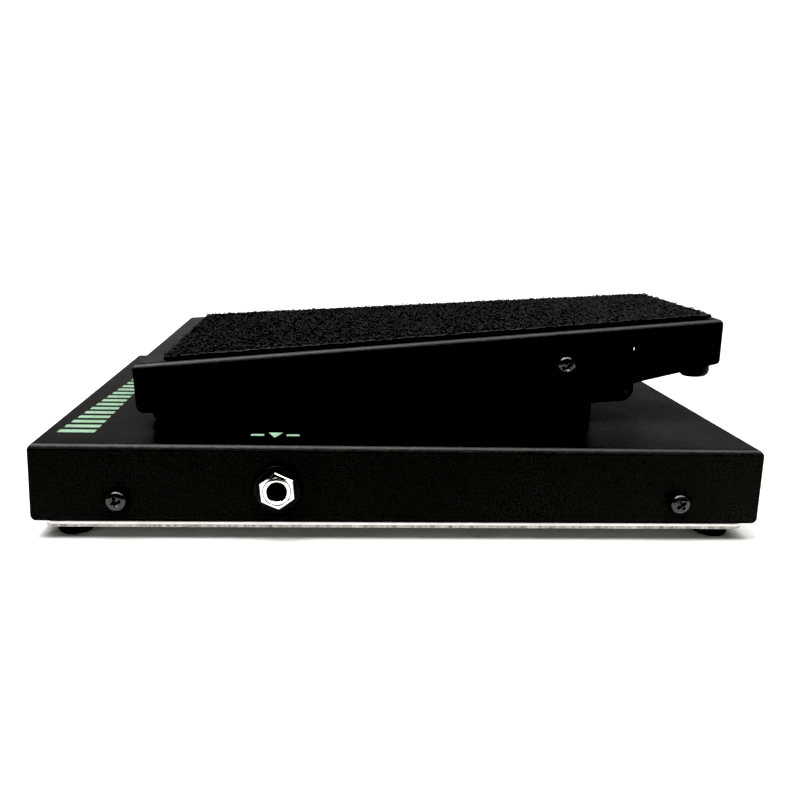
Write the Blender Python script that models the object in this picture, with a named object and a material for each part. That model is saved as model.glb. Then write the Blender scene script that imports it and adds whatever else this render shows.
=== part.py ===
"""Volume pedal: a low steel base box, a long rocking treadle on a cross pivot, optical
volume control inside, phone jacks in the side walls and a battery behind a door below.

Frame: metres. Origin on the floor under the middle of the base, +Y towards the toe end,
+Z up, +X to the player's right. Rest position: toe down.
All driving dimensions below are in millimetres; MM turns them into metres.
"""
import bpy
import bmesh
import math
from mathutils import Matrix, Vector

MM = 0.001
GAP = 0.3                      # air left between pieces that touch

# ---- base box -------------------------------------------------------------
BASE_LEN = 247.65              # 9.75 in
BASE_WID = 152.4               # 6 in
WALL_Z0 = 6.7                  # lower edge of the cover's walls above the floor
WALL_H = 26.4
SHEET = 1.6
BEND_R = 2.1                   # outer radius of the folded top edges
BASE_TOP = WALL_Z0 + WALL_H    # 33.1

# ---- bottom plate ---------------------------------------------------------
PLATE_T = 2.3
PLATE_Z0 = 4.0
PLATE_Z1 = PLATE_Z0 + PLATE_T  # 6.3
PLATE_X = 75.4
PLATE_Y = 120.0
TAB_Y = 95.5
TAB_W = 16.0
TAB_TOP = 20.5
SIDE_SCREW_Z = 14.0

# ---- feet -----------------------------------------------------------------
FOOT_X, FOOT_Y, FOOT_D = 66.0, 112.0, 12.7
FOOT_H = PLATE_Z0 - GAP        # 3.7

# ---- pivot and treadle ----------------------------------------------------
PIVOT_Y, PIVOT_Z = -62.1, 55.4
TREADLE_TILT = 4.53            # degrees, toe lower than heel at rest
TREADLE_X = 57.5               # half width at the toe
HEEL_X = 38.2                  # half width at the heel: the treadle narrows evenly
TR_TOP = 12.75                 # treadle top above the pivot, square to the treadle
TR_TOE = 155.5                 # toe wall ahead of the pivot
TR_HEEL = -62.9                # heel wall behind the pivot
TR_SHEET = 1.5
TOE_DROP, MID_DROP, HEEL_DROP = -4.25, -17.1, -4.4
MID_Y = 30.0
HEEL_LEAN = 1.35               # the heel wall stands upright at rest
TAPER = (TREADLE_X - HEEL_X) / (TR_TOE - TR_HEEL)
LIP = 14.0                     # inward lips under the toe and heel walls
JIG_HOLE_Y, JIG_HOLE_Z = -26.3, 4.0

# ---- inner channel under the treadle ----------------------------------------
CH_X = 39.0
CH_Y = 27.7
CH_BOTTOM = -16.4
ROD_Y, ROD_Z = -23.3, -12.6

# ---- pivot bracket on the base ----------------------------------------------
BR_X = 34.5
BR_HALF = 14.0
BR_T = 1.6
BR_BOSS_R = 8.0

# ---- pad ---------------------------------------------------------------------
PAD_X = TREADLE_X - 3.9
PAD_Y0, PAD_Y1 = -60.2, 146.1
PAD_T = 2.3

# ---- jacks -------------------------------------------------------------------
JACK_Y, JACK_Z = 42.5, 18.4
JACK_OUT = 79.7                # face of the bushing
DC_Y = 72.0

# ---- optical control ---------------------------------------------------------
VANE_Y = 43.0                  # centre of the vane ahead of the pivot
VANE_W = 16.0
VANE_END = -39.3

# ---- battery -----------------------------------------------------------------
BAT_Y = -92.0
DOOR_HINGE_Y = -77.0
DOOR_HINGE_Z = PLATE_Z0 + 1.6


# ==============================================================================
# helpers
# ==============================================================================
for ob in list(bpy.data.objects):
    bpy.data.objects.remove(ob, do_unlink=True)
for block in (bpy.data.meshes, bpy.data.curves, bpy.data.materials):
    for item in list(block):
        block.remove(item)

SCENE = bpy.context.scene.collection


def material(name, rgb, rough, metal=0.0):
    m = bpy.data.materials.new(name)
    m.use_nodes = True
    b = m.node_tree.nodes["Principled BSDF"]
    b.inputs["Base Color"].default_value = (*rgb, 1.0)
    b.inputs["Roughness"].default_value = rough
    b.inputs["Metallic"].default_value = metal
    m.diffuse_color = (*rgb, 1.0)
    return m


POWDER = material("black_powder_coat", (0.012, 0.012, 0.012), 0.55)
ZINC = material("zinc_plate", (0.62, 0.61, 0.58), 0.35, 1.0)
BLACK_SCREW = material("black_oxide", (0.02, 0.02, 0.02), 0.3, 0.6)
RUBBER = material("black_rubber", (0.015, 0.015, 0.015), 0.8)
LOOP_PAD = material("nylon_loop_pad", (0.02, 0.02, 0.02), 0.9)
CHROME = material("bright_nickel", (0.8, 0.79, 0.77), 0.12, 1.0)
NYLON = material("nylon", (0.75, 0.73, 0.68), 0.5)
BLACK_PLASTIC = material("black_plastic", (0.02, 0.02, 0.022), 0.4)
BOARD = material("circuit_board", (0.02, 0.12, 0.05), 0.4)
BATTERY = material("battery_jacket", (0.25, 0.26, 0.28), 0.4)
VANE = material("vane_sheet", (0.03, 0.03, 0.03), 0.6)
LED_RED = material("led_red", (0.5, 0.03, 0.02), 0.2)
CELL = material("photocell", (0.6, 0.45, 0.25), 0.4)
WIRE_RED = material("wire_red", (0.45, 0.02, 0.02), 0.45)
WIRE_BLACK = material("wire_black", (0.02, 0.02, 0.02), 0.45)


def empty(name, loc_mm, rot_x_deg=0.0):
    e = bpy.data.objects.new(name, None)
    e.empty_display_size = 0.02
    e.location = Vector(loc_mm) * MM
    e.rotation_euler = (math.radians(rot_x_deg), 0.0, 0.0)
    SCENE.objects.link(e)
    return e


def finish_mesh(name, bm):
    bmesh.ops.remove_doubles(bm, verts=bm.verts, dist=1e-5)
    bmesh.ops.recalc_face_normals(bm, faces=bm.faces)
    bmesh.ops.scale(bm, vec=(MM, MM, MM), verts=bm.verts)
    me = bpy.data.meshes.new(name)
    bm.to_mesh(me)
    bm.free()
    return me


def piece(name, bm, mat, parent=None, smooth=None):
    me = finish_mesh(name, bm)
    ob = bpy.data.objects.new(name, me)
    me.materials.append(mat)
    if smooth is not None:
        me.shade_smooth()
        me.set_sharp_from_angle(angle=math.radians(smooth))
    SCENE.objects.link(ob)
    if parent is not None:
        ob.parent = parent
    return ob


def cut(target, bm, name, op="DIFFERENCE"):
    me = finish_mesh(name, bm)
    ob = bpy.data.objects.new(name, me)
    SCENE.objects.link(ob)
    ob.parent = target.parent
    ob.hide_render = True
    ob.display_type = "WIRE"
    mod = target.modifiers.new(name, "BOOLEAN")
    mod.operation = op
    mod.solver = "EXACT"
    mod.object = ob
    return ob


def box(x0, x1, y0, y1, z0, z1, bm=None):
    bm = bm or bmesh.new()
    r = bmesh.ops.create_cube(bm, size=1.0)
    for v in r["verts"]:
        v.co = Vector((x0 if v.co.x < 0 else x1, y0 if v.co.y < 0 else y1, z0 if v.co.z < 0 else z1))
    return bm


def place(axis, u, v, a):
    """Outline coordinates (u, v) and the distance a along the axis, as a point."""
    if axis == "X":
        return Vector((a, u, v))
    if axis == "Y":
        return Vector((u, a, v))
    return Vector((u, v, a))


def prism(outline, axis, a0, a1, bm=None):
    bm = bm or bmesh.new()
    lo = [bm.verts.new(place(axis, u, v, a0)) for u, v in outline]
    hi = [bm.verts.new(place(axis, u, v, a1)) for u, v in outline]
    bm.faces.new(lo)
    bm.faces.new(list(reversed(hi)))
    n = len(outline)
    for i in range(n):
        bm.faces.new([lo[i], hi[i], hi[(i + 1) % n], lo[(i + 1) % n]])
    return bm


def lathe(profile, axis="Z", centre=(0, 0, 0), n=24, flip=False, phase=0.0, bm=None):
    """Closed turned solid. profile: (radius, height) points; a closed loop when no
    radius is zero, otherwise it starts and ends on the axis."""
    bm = bm or bmesh.new()
    c = Vector(centre)
    rings = []
    for r, h in profile:
        h = -h if flip else h
        if r <= 1e-9:
            rings.append([bm.verts.new(c + place(axis, 0, 0, h))])
        else:
            rings.append([bm.verts.new(c + place(axis, r * math.cos(phase + 2 * math.pi * k / n),
                                                 r * math.sin(phase + 2 * math.pi * k / n), h))
                          for k in range(n)])
    count = len(rings)
    closed = all(len(g) > 1 for g in rings)
    for i in range(count if closed else count - 1):
        a, b = rings[i], rings[(i + 1) % count]
        for k in range(n):
            q = [a[k % len(a)], a[(k + 1) % len(a)], b[(k + 1) % len(b)], b[k % len(b)]]
            uniq = []
            for v in q:
                if v not in uniq:
                    uniq.append(v)
            if len(uniq) > 2:
                bm.faces.new(uniq)
    return bm


def cylinder(axis, centre, r, a0, a1, n=20, phase=0.0, bm=None):
    return lathe([(0, a0), (r, a0), (r, a1), (0, a1)], axis, centre, n, phase=phase, bm=bm)


def bevel(bm, test, width, segments=3):
    edges = [e for e in bm.edges if test(e.verts[0].co, e.verts[1].co)]
    bmesh.ops.bevel(bm, geom=edges, offset=width, offset_type="OFFSET", segments=segments,
                    profile=0.5, affect="EDGES")
    return bm


def arc(cy, cz, r, a0, a1, n):
    return [(cy + r * math.cos(math.radians(a0 + (a1 - a0) * i / n)),
             cz + r * math.sin(math.radians(a0 + (a1 - a0) * i / n))) for i in range(n + 1)]


def rounded(points, radii, n=3):
    """A polygon with each corner rounded to its own radius."""
    out = []
    m = len(points)
    for i, (p, r) in enumerate(zip(points, radii)):
        p = Vector(p)
        a = (Vector(points[i - 1]) - p).normalized()
        b = (Vector(points[(i + 1) % m]) - p).normalized()
        if r <= 0:
            out.append((p.x, p.y))
            continue
        half = math.acos(max(-1.0, min(1.0, a.dot(b)))) / 2
        t = r / math.tan(half)
        centre = p + (a + b).normalized() * (r / math.sin(half))
        s, e = p + a * t - centre, p + b * t - centre
        a0 = math.atan2(s.y, s.x)
        d = math.atan2(s.x * e.y - s.y * e.x, s.dot(e))
        for k in range(n + 1):
            out.append((centre.x + r * math.cos(a0 + d * k / n), centre.y + r * math.sin(a0 + d * k / n)))
    return out


def narrow(bm):
    """Bring the sides of a treadle piece in towards the heel, keeping every distance
    from the side wall as drawn."""
    for v in bm.verts:
        half = HEEL_X + TAPER * (v.co.y - TR_HEEL)
        v.co.x = math.copysign(abs(v.co.x) - TREADLE_X + half, v.co.x)
    return bm


def hexagon(r_flat, turn=0.0):
    r = r_flat / math.cos(math.pi / 6)
    return [(r * math.cos(turn + math.pi * k / 3), r * math.sin(turn + math.pi * k / 3)) for k in range(6)]


def pan_screw(name, axis, seat, sign, head_d, head_h, shank_d, shank_l, mat=None, parent=None, n=12):
    """Pan head screw. seat: point under the head; sign: direction the head faces along the axis."""
    r, s = head_d / 2, shank_d / 2
    prof = [(0, head_h), (r * 0.75, head_h * 0.86), (r, head_h * 0.36), (r, 0), (s, 0), (s, -shank_l), (0, -shank_l)]
    bm = lathe(prof, axis, seat, n, flip=sign < 0)
    return piece(name, bm, mat or BLACK_SCREW, parent, smooth=40)


# ==============================================================================
# base cover: top, four walls, open underneath
# ==============================================================================
HX, HY = BASE_WID / 2, BASE_LEN / 2
outer = box(-HX, HX, -HY, HY, WALL_Z0, BASE_TOP)
bevel(outer, lambda a, b: a.z > BASE_TOP - 0.01 and b.z > BASE_TOP - 0.01, BEND_R, 4)
base_cover = piece("base_cover", outer, POWDER, smooth=35)
inner = box(-HX + SHEET, HX - SHEET, -HY + SHEET, HY - SHEET, WALL_Z0 - 10, BASE_TOP - SHEET)
bevel(inner, lambda a, b: a.z > BASE_TOP - SHEET - 0.01 and b.z > BASE_TOP - SHEET - 0.01, 0.8, 2)
cut(base_cover, inner, "cut_cover_inside")
holes = bmesh.new()
for sx in (-1, 1):
    for sy in (-1, 1):
        cylinder("X", (sx * HX, sy * TAB_Y, SIDE_SCREW_Z), 1.8, -5, 5, 10, bm=holes)
    cylinder("X", (sx * HX, JACK_Y, JACK_Z), 4.95, -5, 5, 20, bm=holes)
cylinder("X", (HX, DC_Y, JACK_Z), 6.1, -5, 5, 20, bm=holes)
cut(base_cover, holes, "cut_cover_side_holes")

# ==============================================================================
# bottom plate with four upright tabs, the battery opening and its hinge knuckles
# ==============================================================================
bottom_plate = piece("bottom_plate", box(-PLATE_X, PLATE_X, -PLATE_Y, PLATE_Y, PLATE_Z0, PLATE_Z1), ZINC)
TAB_X0, TAB_X1 = 72.5, 74.2
for sx in (-1, 1):
    for sy in (-1, 1):
        tag = ("l" if sx < 0 else "r") + ("r" if sy < 0 else "f")
        # upright tab welded on the plate's edge, standing inside the cover's wall
        xa, xb = sorted((sx * TAB_X0, sx * TAB_X1))
        tab = box(xa, xb, sy * TAB_Y - TAB_W / 2, sy * TAB_Y + TAB_W / 2, PLATE_Z0 + 0.6, TAB_TOP)
        bevel(tab, lambda a, b: a.z > TAB_TOP - 0.01 and b.z > TAB_TOP - 0.01 and abs(a.y - b.y) < 0.01, 2.0, 2)
        cut(bottom_plate, tab, "add_tab_" + tag, "UNION")
DOOR_X = 27.5
DOOR_Y0 = -107.5
opening = box(-DOOR_X - 0.5, DOOR_X + 0.5, DOOR_Y0 - 0.5, -74.9, PLATE_Z0 - 5, PLATE_Z1 + 5)
cut(bottom_plate, opening, "cut_battery_opening")
for i, (x0, x1) in enumerate(((-27.0, -15.0), (15.0, 27.0))):
    sec = [(-77.0, PLATE_Z0 + 0.15), (-74.0, PLATE_Z0 + 0.15), (-74.0, PLATE_Z1 - 0.15), (-77.0, PLATE_Z1 - 0.15)]
    cut(bottom_plate, prism(sec, "X", x0 + 0.2, x1 - 0.2), "add_knuckle_root_%d" % i, "UNION")
    cut(bottom_plate, cylinder("X", (0, DOOR_HINGE_Y, DOOR_HINGE_Z), 1.6, x0, x1, 12), "add_knuckle_%d" % i, "UNION")
holes = bmesh.new()
for sx in (-1, 1):
    for sy in (-1, 1):
        cylinder("X", (sx * 73.5, sy * TAB_Y, SIDE_SCREW_Z), 1.8, -3, 3, 10, bm=holes)
        cylinder("Z", (sx * FOOT_X, sy * FOOT_Y, PLATE_Z0), 1.8, -3, 6, 10, bm=holes)
cylinder("X", (0, DOOR_HINGE_Y, DOOR_HINGE_Z), 1.0, -35, 35, 10, bm=holes)
cut(bottom_plate, holes, "cut_plate_holes")

# battery door, hinged at its toe-side edge, swings down and out
hinge = empty("battery_door_hinge", (0, DOOR_HINGE_Y, DOOR_HINGE_Z))
panel = box(-DOOR_X, DOOR_X, DOOR_Y0 - DOOR_HINGE_Y, -2.1, -1.6, 0.4)
bevel(panel, lambda a, b: abs(a.z - b.z) > 1 and a.y < -10, 1.5, 3)
battery_door = piece("battery_door", panel, BLACK_PLASTIC, hinge, smooth=35)
sec = [(-4.0, -1.45), (-0.2, -1.45), (-0.2, 0.25), (-4.0, 0.25)]
cut(battery_door, prism(sec, "X", -14.2, 14.2), "add_door_root", "UNION")
cut(battery_door, cylinder("X", (0, 0, 0), 1.6, -14.5, 14.5, 12), "add_door_knuckle", "UNION")
cut(battery_door, box(-7, 7, DOOR_Y0 - DOOR_HINGE_Y + 0.2, DOOR_Y0 - DOOR_HINGE_Y + 1.5, 0.0, 3.6), "add_door_latch", "UNION")
cut(battery_door, cylinder("X", (0, 0, 0), 1.0, -30, 30, 10), "cut_door_pin_hole")
slot = bmesh.new()
for k in range(3):
    box(-9, 9, -26.5 + 2.2 * k, -25.5 + 2.2 * k, -3, -1.1, slot)
cut(battery_door, slot, "cut_door_grip")
piece("battery_door_pin", cylinder("X", (0, DOOR_HINGE_Y, DOOR_HINGE_Z), 0.7, -28, 28, 10), ZINC, smooth=40)

# ==============================================================================
# feet and the screws that hold them, cover screws
# ==============================================================================
for sx in (-1, 1):
    for sy in (-1, 1):
        side = ("left" if sx < 0 else "right")
        end = ("toe" if sy > 0 else "heel")
        r = FOOT_D / 2
        prof = [(3.3, 0), (r - 1.0, 0), (r - 0.3, 0.8), (r, FOOT_H), (1.8, FOOT_H), (1.8, 2.4), (3.3, 2.4)]
        c = (sx * FOOT_X, sy * FOOT_Y, 0)
        piece("rubber_foot_%s_%s" % (end, side), lathe(prof, "Z", c, 20), RUBBER, smooth=40)
        pan_screw("foot_screw_%s_%s" % (end, side), "Z", (c[0], c[1], 2.1), -1, 5.8, 1.4, 3.0, 7.2, ZINC)
        pan_screw("cover_screw_%s_%s" % (end, side), "X", (sx * (HX + GAP), sy * TAB_Y, SIDE_SCREW_Z), sx,
                  7.0, 2.1, 3.0, 6.5, n=16)

# ==============================================================================
# pivot bracket: an upright channel on the base top, its cheeks carry the pivot
# ==============================================================================
zb = BASE_TOP + GAP
left = [(PIVOT_Y - BR_HALF, zb), (PIVOT_Y - BR_HALF, zb + 5.0)]
# straight sides rise from the foot and run tangent to the round boss
ang = 158.0
boss = arc(PIVOT_Y, PIVOT_Z, BR_BOSS_R, 180 + (ang - 180), 180 - ang, 12)
outline = [(PIVOT_Y + BR_HALF, zb), (PIVOT_Y + BR_HALF, zb + 5.0)] + boss[::-1] + \
          [(PIVOT_Y - BR_HALF, zb + 5.0), (PIVOT_Y - BR_HALF, zb)]
pivot_bracket = piece("pivot_bracket", prism(outline, "X", -BR_X, BR_X), POWDER, smooth=35)
cut(pivot_bracket, box(-BR_X + BR_T, BR_X - BR_T, PIVOT_Y - 30, PIVOT_Y + 30, zb + BR_T, PIVOT_Z + 20), "cut_bracket_inside")
holes = bmesh.new()
cylinder("X", (0, PIVOT_Y, PIVOT_Z), 2.35, -60, 60, 16, bm=holes)
BR_SCREWS = [(sx * 22.0, PIVOT_Y + sy * 8.5) for sx in (-1, 1) for sy in (-1, 1)]
for x, y in BR_SCREWS:
    cylinder("Z", (x, y, zb), 1.8, -4, 4, 10, bm=holes)
cut(pivot_bracket, holes, "cut_bracket_holes")
holes = bmesh.new()
for i, (x, y) in enumerate(BR_SCREWS):
    cylinder("Z", (x, y, BASE_TOP), 1.8, -5, 5, 10, bm=holes)
    name = "bracket_screw_%s_%s" % ("toe" if y > PIVOT_Y else "heel", "left" if x < 0 else "right")
    pan_screw(name, "Z", (x, y, zb + BR_T + GAP), 1, 6.0, 1.9, 3.0, 7.0, ZINC)
# slot in the base top for the shutter vane
slot_out = arc(0, -2.3, 2.4, 0, 180, 8) + [(u, v - 27.3) for u, v in arc(0, 0, 2.4, 180, 360, 8)]
cut(base_cover, holes, "cut_cover_bracket_holes")
cut(base_cover, prism(slot_out, "Z", BASE_TOP - 5, BASE_TOP + 5), "cut_cover_slot")

# ==============================================================================
# treadle: an inverted folded tray. Everything on it is drawn in the treadle's own
# directions, from the pivot axis: +Y along the treadle to the toe, +Z out of its top.
# ==============================================================================
pivot = empty("treadle_pivot", (0, PIVOT_Y, PIVOT_Z), -TREADLE_TILT)
side = rounded([(TR_TOE, TR_TOP), (TR_HEEL, TR_TOP), (TR_HEEL + HEEL_LEAN, HEEL_DROP), (MID_Y, MID_DROP), (TR_TOE, TOE_DROP)],
               [0, 0, 1.6, 14.0, 2.6], 5)
tray = prism(side, "X", -TREADLE_X, TREADLE_X)
# folded edges round the top; the upright corners are plain butted folds
bevel(tray, lambda a, b: a.z > TR_TOP - 0.01 and b.z > TR_TOP - 0.01, 2.0, 4)
narrow(tray)
treadle = piece("treadle", tray, POWDER, pivot, smooth=35)
t = TR_SHEET
inside = prism([(TR_TOE - t, TR_TOP - t), (TR_HEEL + t, TR_TOP - t), (TR_HEEL + HEEL_LEAN + t, HEEL_DROP),
                (TR_HEEL + HEEL_LEAN + t, -40), (TR_TOE - t, -40)], "X", -TREADLE_X + t, TREADLE_X - t)
cut(treadle, narrow(inside), "cut_treadle_inside")
h = TR_HEEL + HEEL_LEAN
heel_lip = prism([(h + 0.75, HEEL_DROP + 0.9), (h + 1.8, HEEL_DROP), (TR_HEEL + LIP, HEEL_DROP), (TR_HEEL + LIP, HEEL_DROP + t),
                  (h + 0.75, HEEL_DROP + t)], "X", -TREADLE_X + 0.75, TREADLE_X - 0.75)
cut(treadle, narrow(heel_lip), "add_heel_lip", "UNION")
toe_lip = prism([(TR_TOE - LIP, TOE_DROP), (TR_TOE - 2.7, TOE_DROP), (TR_TOE - 0.75, TOE_DROP + 1.3), (TR_TOE - 0.75, TOE_DROP + t),
                 (TR_TOE - LIP, TOE_DROP + t)], "X", -TREADLE_X + 0.75, TREADLE_X - 0.75)
cut(treadle, narrow(toe_lip), "add_toe_lip", "UNION")
holes = bmesh.new()
HEEL_BUMPER = (31.5, -54.6, 5.6, 5.2)      # x, y, radius, height
TOE_BUMPER = (44.0, TR_TOE - 7.6, 5.25, 5.5)
cylinder("X", (0, 0, 0), 2.35, -70, 70, 16, bm=holes)
cylinder("X", (0, JIG_HOLE_Y, JIG_HOLE_Z), 1.4, -70, 70, 12, bm=holes)
for sx in (-1, 1):
    cylinder("Z", (sx * HEEL_BUMPER[0], HEEL_BUMPER[1], HEEL_DROP), 2.6, -3, 5, 12, bm=holes)
    cylinder("Z", (sx * TOE_BUMPER[0], TOE_BUMPER[1], TOE_DROP), 2.6, -3, 5, 12, bm=holes)
for sy in (-1, 1):
    cylinder("Z", (0, VANE_Y + sy * 11.5, TR_TOP), 1.6, -4, 4, 10, bm=holes)
cut(treadle, holes, "cut_treadle_holes")

# inner channel welded under the treadle, round the pivot
ceil = TR_TOP - t - GAP
chan = rounded([(CH_Y, ceil), (-CH_Y, ceil), (-CH_Y, CH_BOTTOM), (CH_Y, CH_BOTTOM)], [0, 0, 5.0, 5.0], 4)
cb = prism(chan, "X", -CH_X, CH_X)
bevel(cb, lambda a, b: a.z > ceil - 0.01 and b.z > ceil - 0.01 and abs(a.x - b.x) < 0.01, 1.8, 3)
treadle_channel = piece("treadle_channel", cb, POWDER, pivot, smooth=35)
cut(treadle_channel, box(-CH_X + t, CH_X - t, -CH_Y - 10, CH_Y + 10, CH_BOTTOM - 10, ceil - t), "cut_channel_inside")
holes = bmesh.new()
cylinder("X", (0, 0, 0), 2.35, -70, 70, 16, bm=holes)
cylinder("X", (0, ROD_Y, ROD_Z), 1.8, -70, 70, 10, bm=holes)
cut(treadle_channel, holes, "cut_channel_holes")

# tie rod across the channel, its ends peened over outside the walls
rod_end = CH_X + GAP
bm = lathe([(0, -rod_end - 1.1), (1.3, -rod_end - 0.9), (1.95, -rod_end - 0.4), (1.95, -rod_end), (1.5, -rod_end),
            (1.5, rod_end), (1.95, rod_end), (1.95, rod_end + 0.4), (1.3, rod_end + 0.9), (0, rod_end + 1.1)],
           "X", (0, ROD_Y, ROD_Z), 12)
piece("channel_tie_rod", bm, ZINC, pivot, smooth=40)

# pivot hardware, left and right
for sx, side_name in ((-1, "left"), (1, "right")):
    head = 44.4                  # clears the slanting wall all round the head
    length = head - (BR_X - BR_T) + 7.0
    prof = [(0, 2.3), (2.7, 2.0), (3.65, 0.85), (3.65, 0), (2.0, 0), (2.0, -length), (0, -length)]
    piece("pivot_screw_" + side_name, lathe(prof, "X", (sx * head, 0, 0), 16, flip=sx < 0), BLACK_SCREW, pivot, smooth=40)
    a0, a1 = CH_X + GAP, 41.5
    ring = [(2.3, a0), (4.6, a0), (4.6, a1), (2.3, a1)]
    piece("pivot_spacer_" + side_name, lathe(ring, "X", (0, 0, 0), 16, flip=sx < 0), ZINC, pivot, smooth=40)
    a0, a1 = BR_X + GAP, CH_X - t - GAP
    ring = [(2.3, a0), (6.0, a0), (6.0, a1), (2.3, a1)]
    piece("pivot_washer_" + side_name, lathe(ring, "X", (0, PIVOT_Y, PIVOT_Z), 16, flip=sx < 0), NYLON, None, smooth=40)
    n1 = BR_X - BR_T - GAP
    nut = prism(hexagon(4.0), "X", sx * (n1 - 4.2), sx * n1)
    ob = piece("pivot_nut_" + side_name, nut, ZINC, pivot)
    cut(ob, cylinder("X", (sx * n1, 0, 0), 2.3, -10, 10, 12), "cut_pivot_nut_" + side_name)

# rubber bumpers pushed into the lips
for sx, side_name in ((-1, "left"), (1, "right")):
    for (xx, yy, r, h), zz, end in ((HEEL_BUMPER, HEEL_DROP, "heel"), (TOE_BUMPER, TOE_DROP, "toe")):
        prof = [(0, -h - GAP), (r - 1.35, -h - GAP), (r, -h - GAP + 1.4), (r, -GAP), (2.3, -GAP),
                (2.3, t + GAP), (3.2, t + GAP), (1.8, t + GAP + 2.2), (0, t + GAP + 2.2)]
        piece("%s_bumper_%s" % (end, side_name), lathe(prof, "Z", (sx * xx, yy, zz), 14), RUBBER, pivot, smooth=40)

# grip pad glued on the treadle top
pad = prism(rounded([(-PAD_X, PAD_Y0), (PAD_X, PAD_Y0), (PAD_X, PAD_Y1), (-PAD_X, PAD_Y1)], [2.0] * 4, 3), "Z",
            TR_TOP + GAP, TR_TOP + GAP + PAD_T)
piece("grip_pad", narrow(pad), LOOP_PAD, pivot)

# shutter vane: a bent sheet, its flange under the treadle top and its tapered blade
# hanging through the slot in the base between the lamp and the photocell
f1 = TR_TOP - t - GAP
f0 = f1 - 1.2
blade = rounded([(VANE_Y - VANE_W / 2, f0 + 0.6), (VANE_Y - VANE_W / 2, -31.4), (VANE_Y - 2.5, VANE_END), (VANE_Y + 4.0, VANE_END),
                 (VANE_Y + VANE_W / 2, -27.5), (VANE_Y + VANE_W / 2, f0 + 0.6)], [0, 2.0, 1.5, 1.5, 2.0, 0], 3)
shutter = piece("shutter_vane", box(-5.5, 5.5, VANE_Y - 14.5, VANE_Y + 14.5, f0, f1), VANE, pivot)
cut(shutter, prism(blade, "X", -0.6, 0.6), "add_blade", "UNION")
holes = bmesh.new()
for sy in (-1, 1):
    cylinder("Z", (0, VANE_Y + sy * 11.5, f0), 1.6, -3, 3, 10, bm=holes)
cut(shutter, holes, "cut_vane_holes")
for sy, nm in ((-1, "heel"), (1, "toe")):
    pan_screw("shutter_screw_" + nm, "Z", (0, VANE_Y + sy * 11.5, f0 - GAP), -1, 5.0, 1.6, 2.6, 2.9, ZINC, pivot, n=10)

# ==============================================================================
# jacks
# ==============================================================================
for sx, which in ((-1, "output"), (1, "input")):
    c = (0, JACK_Y, JACK_Z)
    wall_in = HX - SHEET
    body = box(min(sx * 50.0, sx * (wall_in - GAP)), max(sx * 50.0, sx * (wall_in - GAP)), JACK_Y - 10, JACK_Y + 10, JACK_Z - 9.0, JACK_Z + 9.0)
    bevel(body, lambda a, b: abs(a.x - b.x) > 5, 1.2, 2)
    jack = piece(which + "_jack_body", body, BLACK_PLASTIC)
    cut(jack, cylinder("X", c, 4.6, sx * (wall_in - 4), sx * JACK_OUT, 20), "add_%s_bushing" % which, "UNION")
    cut(jack, cylinder("X", c, 3.35, sx * 53.0, sx * (JACK_OUT + 5), 20), "cut_%s_bore" % which)
    ring = [(4.95, HX + GAP), (8.0, HX + GAP), (8.0, HX + GAP + 0.6), (4.95, HX + GAP + 0.6)]
    piece(which + "_jack_washer", lathe(ring, "X", c, 24, flip=sx < 0), BLACK_PLASTIC, smooth=40)
    n0, n1 = HX + 2 * GAP + 0.6, JACK_OUT - 0.1
    nut = prism([(JACK_Y + u, JACK_Z + v) for u, v in hexagon(5.6, math.radians(90 + sx * 6))], "X", sx * n0, sx * n1)
    ob = piece(which + "_jack_nut", nut, CHROME)
    cut(ob, cylinder("X", c, 4.95, sx * (n0 - 3), sx * (n1 + 3), 20), "cut_%s_nut" % which)

# power socket on the right-hand wall
c = (0, DC_Y, JACK_Z)
prof = [(2.9, 76.0), (2.9, HX + 1.9), (6.4, HX + 1.9), (7.0, HX + 1.3), (7.0, HX + GAP), (5.75, HX + GAP), (5.75, 58.0), (0, 58.0)]
dc = lathe([(0, 66.0), (2.9, 66.0)] + prof[1:], "X", c, 20)
piece("power_socket", dc, BLACK_PLASTIC, smooth=40)
nut = prism([(DC_Y + u, JACK_Z + v) for u, v in hexagon(7.2)], "X", HX - SHEET - GAP - 2.4, HX - SHEET - GAP)
ob = piece("power_socket_nut", nut, BLACK_PLASTIC)
cut(ob, cylinder("X", c, 6.1, HX - 12, HX + 3, 20), "cut_power_nut")

# ==============================================================================
# circuit board, lamp and photocell, battery and its leads
# ==============================================================================
PCB0, PCB1 = 9.3, 10.9
board = piece("circuit_board", box(-38, 38, -48, 24, PCB0, PCB1), BOARD)
holes = bmesh.new()
STAND = [(-33, -43), (33, -43), (-33, 19), (33, 19)]
for x, y in STAND:
    cylinder("Z", (x, y, PCB0), 1.6, -3, 4, 10, bm=holes)
cut(board, holes, "cut_board_holes")
for x, y in STAND[1:3]:
    nm = "heel_right" if y < 0 else "toe_left"
    prof = [(0, PLATE_Z1 + GAP), (3.2, PLATE_Z1 + GAP), (3.2, PCB0 - GAP), (1.3, PCB0 - GAP), (1.3, PCB1 + GAP), (2.2, PCB1 + GAP),
            (1.2, PCB1 + GAP + 2.0), (0, PCB1 + GAP + 2.2)]
    piece("board_standoff_" + nm, lathe(prof, "Z", (x, y, 0), 10), NYLON, smooth=40)
OPTO_Y, OPTO_Z = -20.8, 19.7
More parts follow.
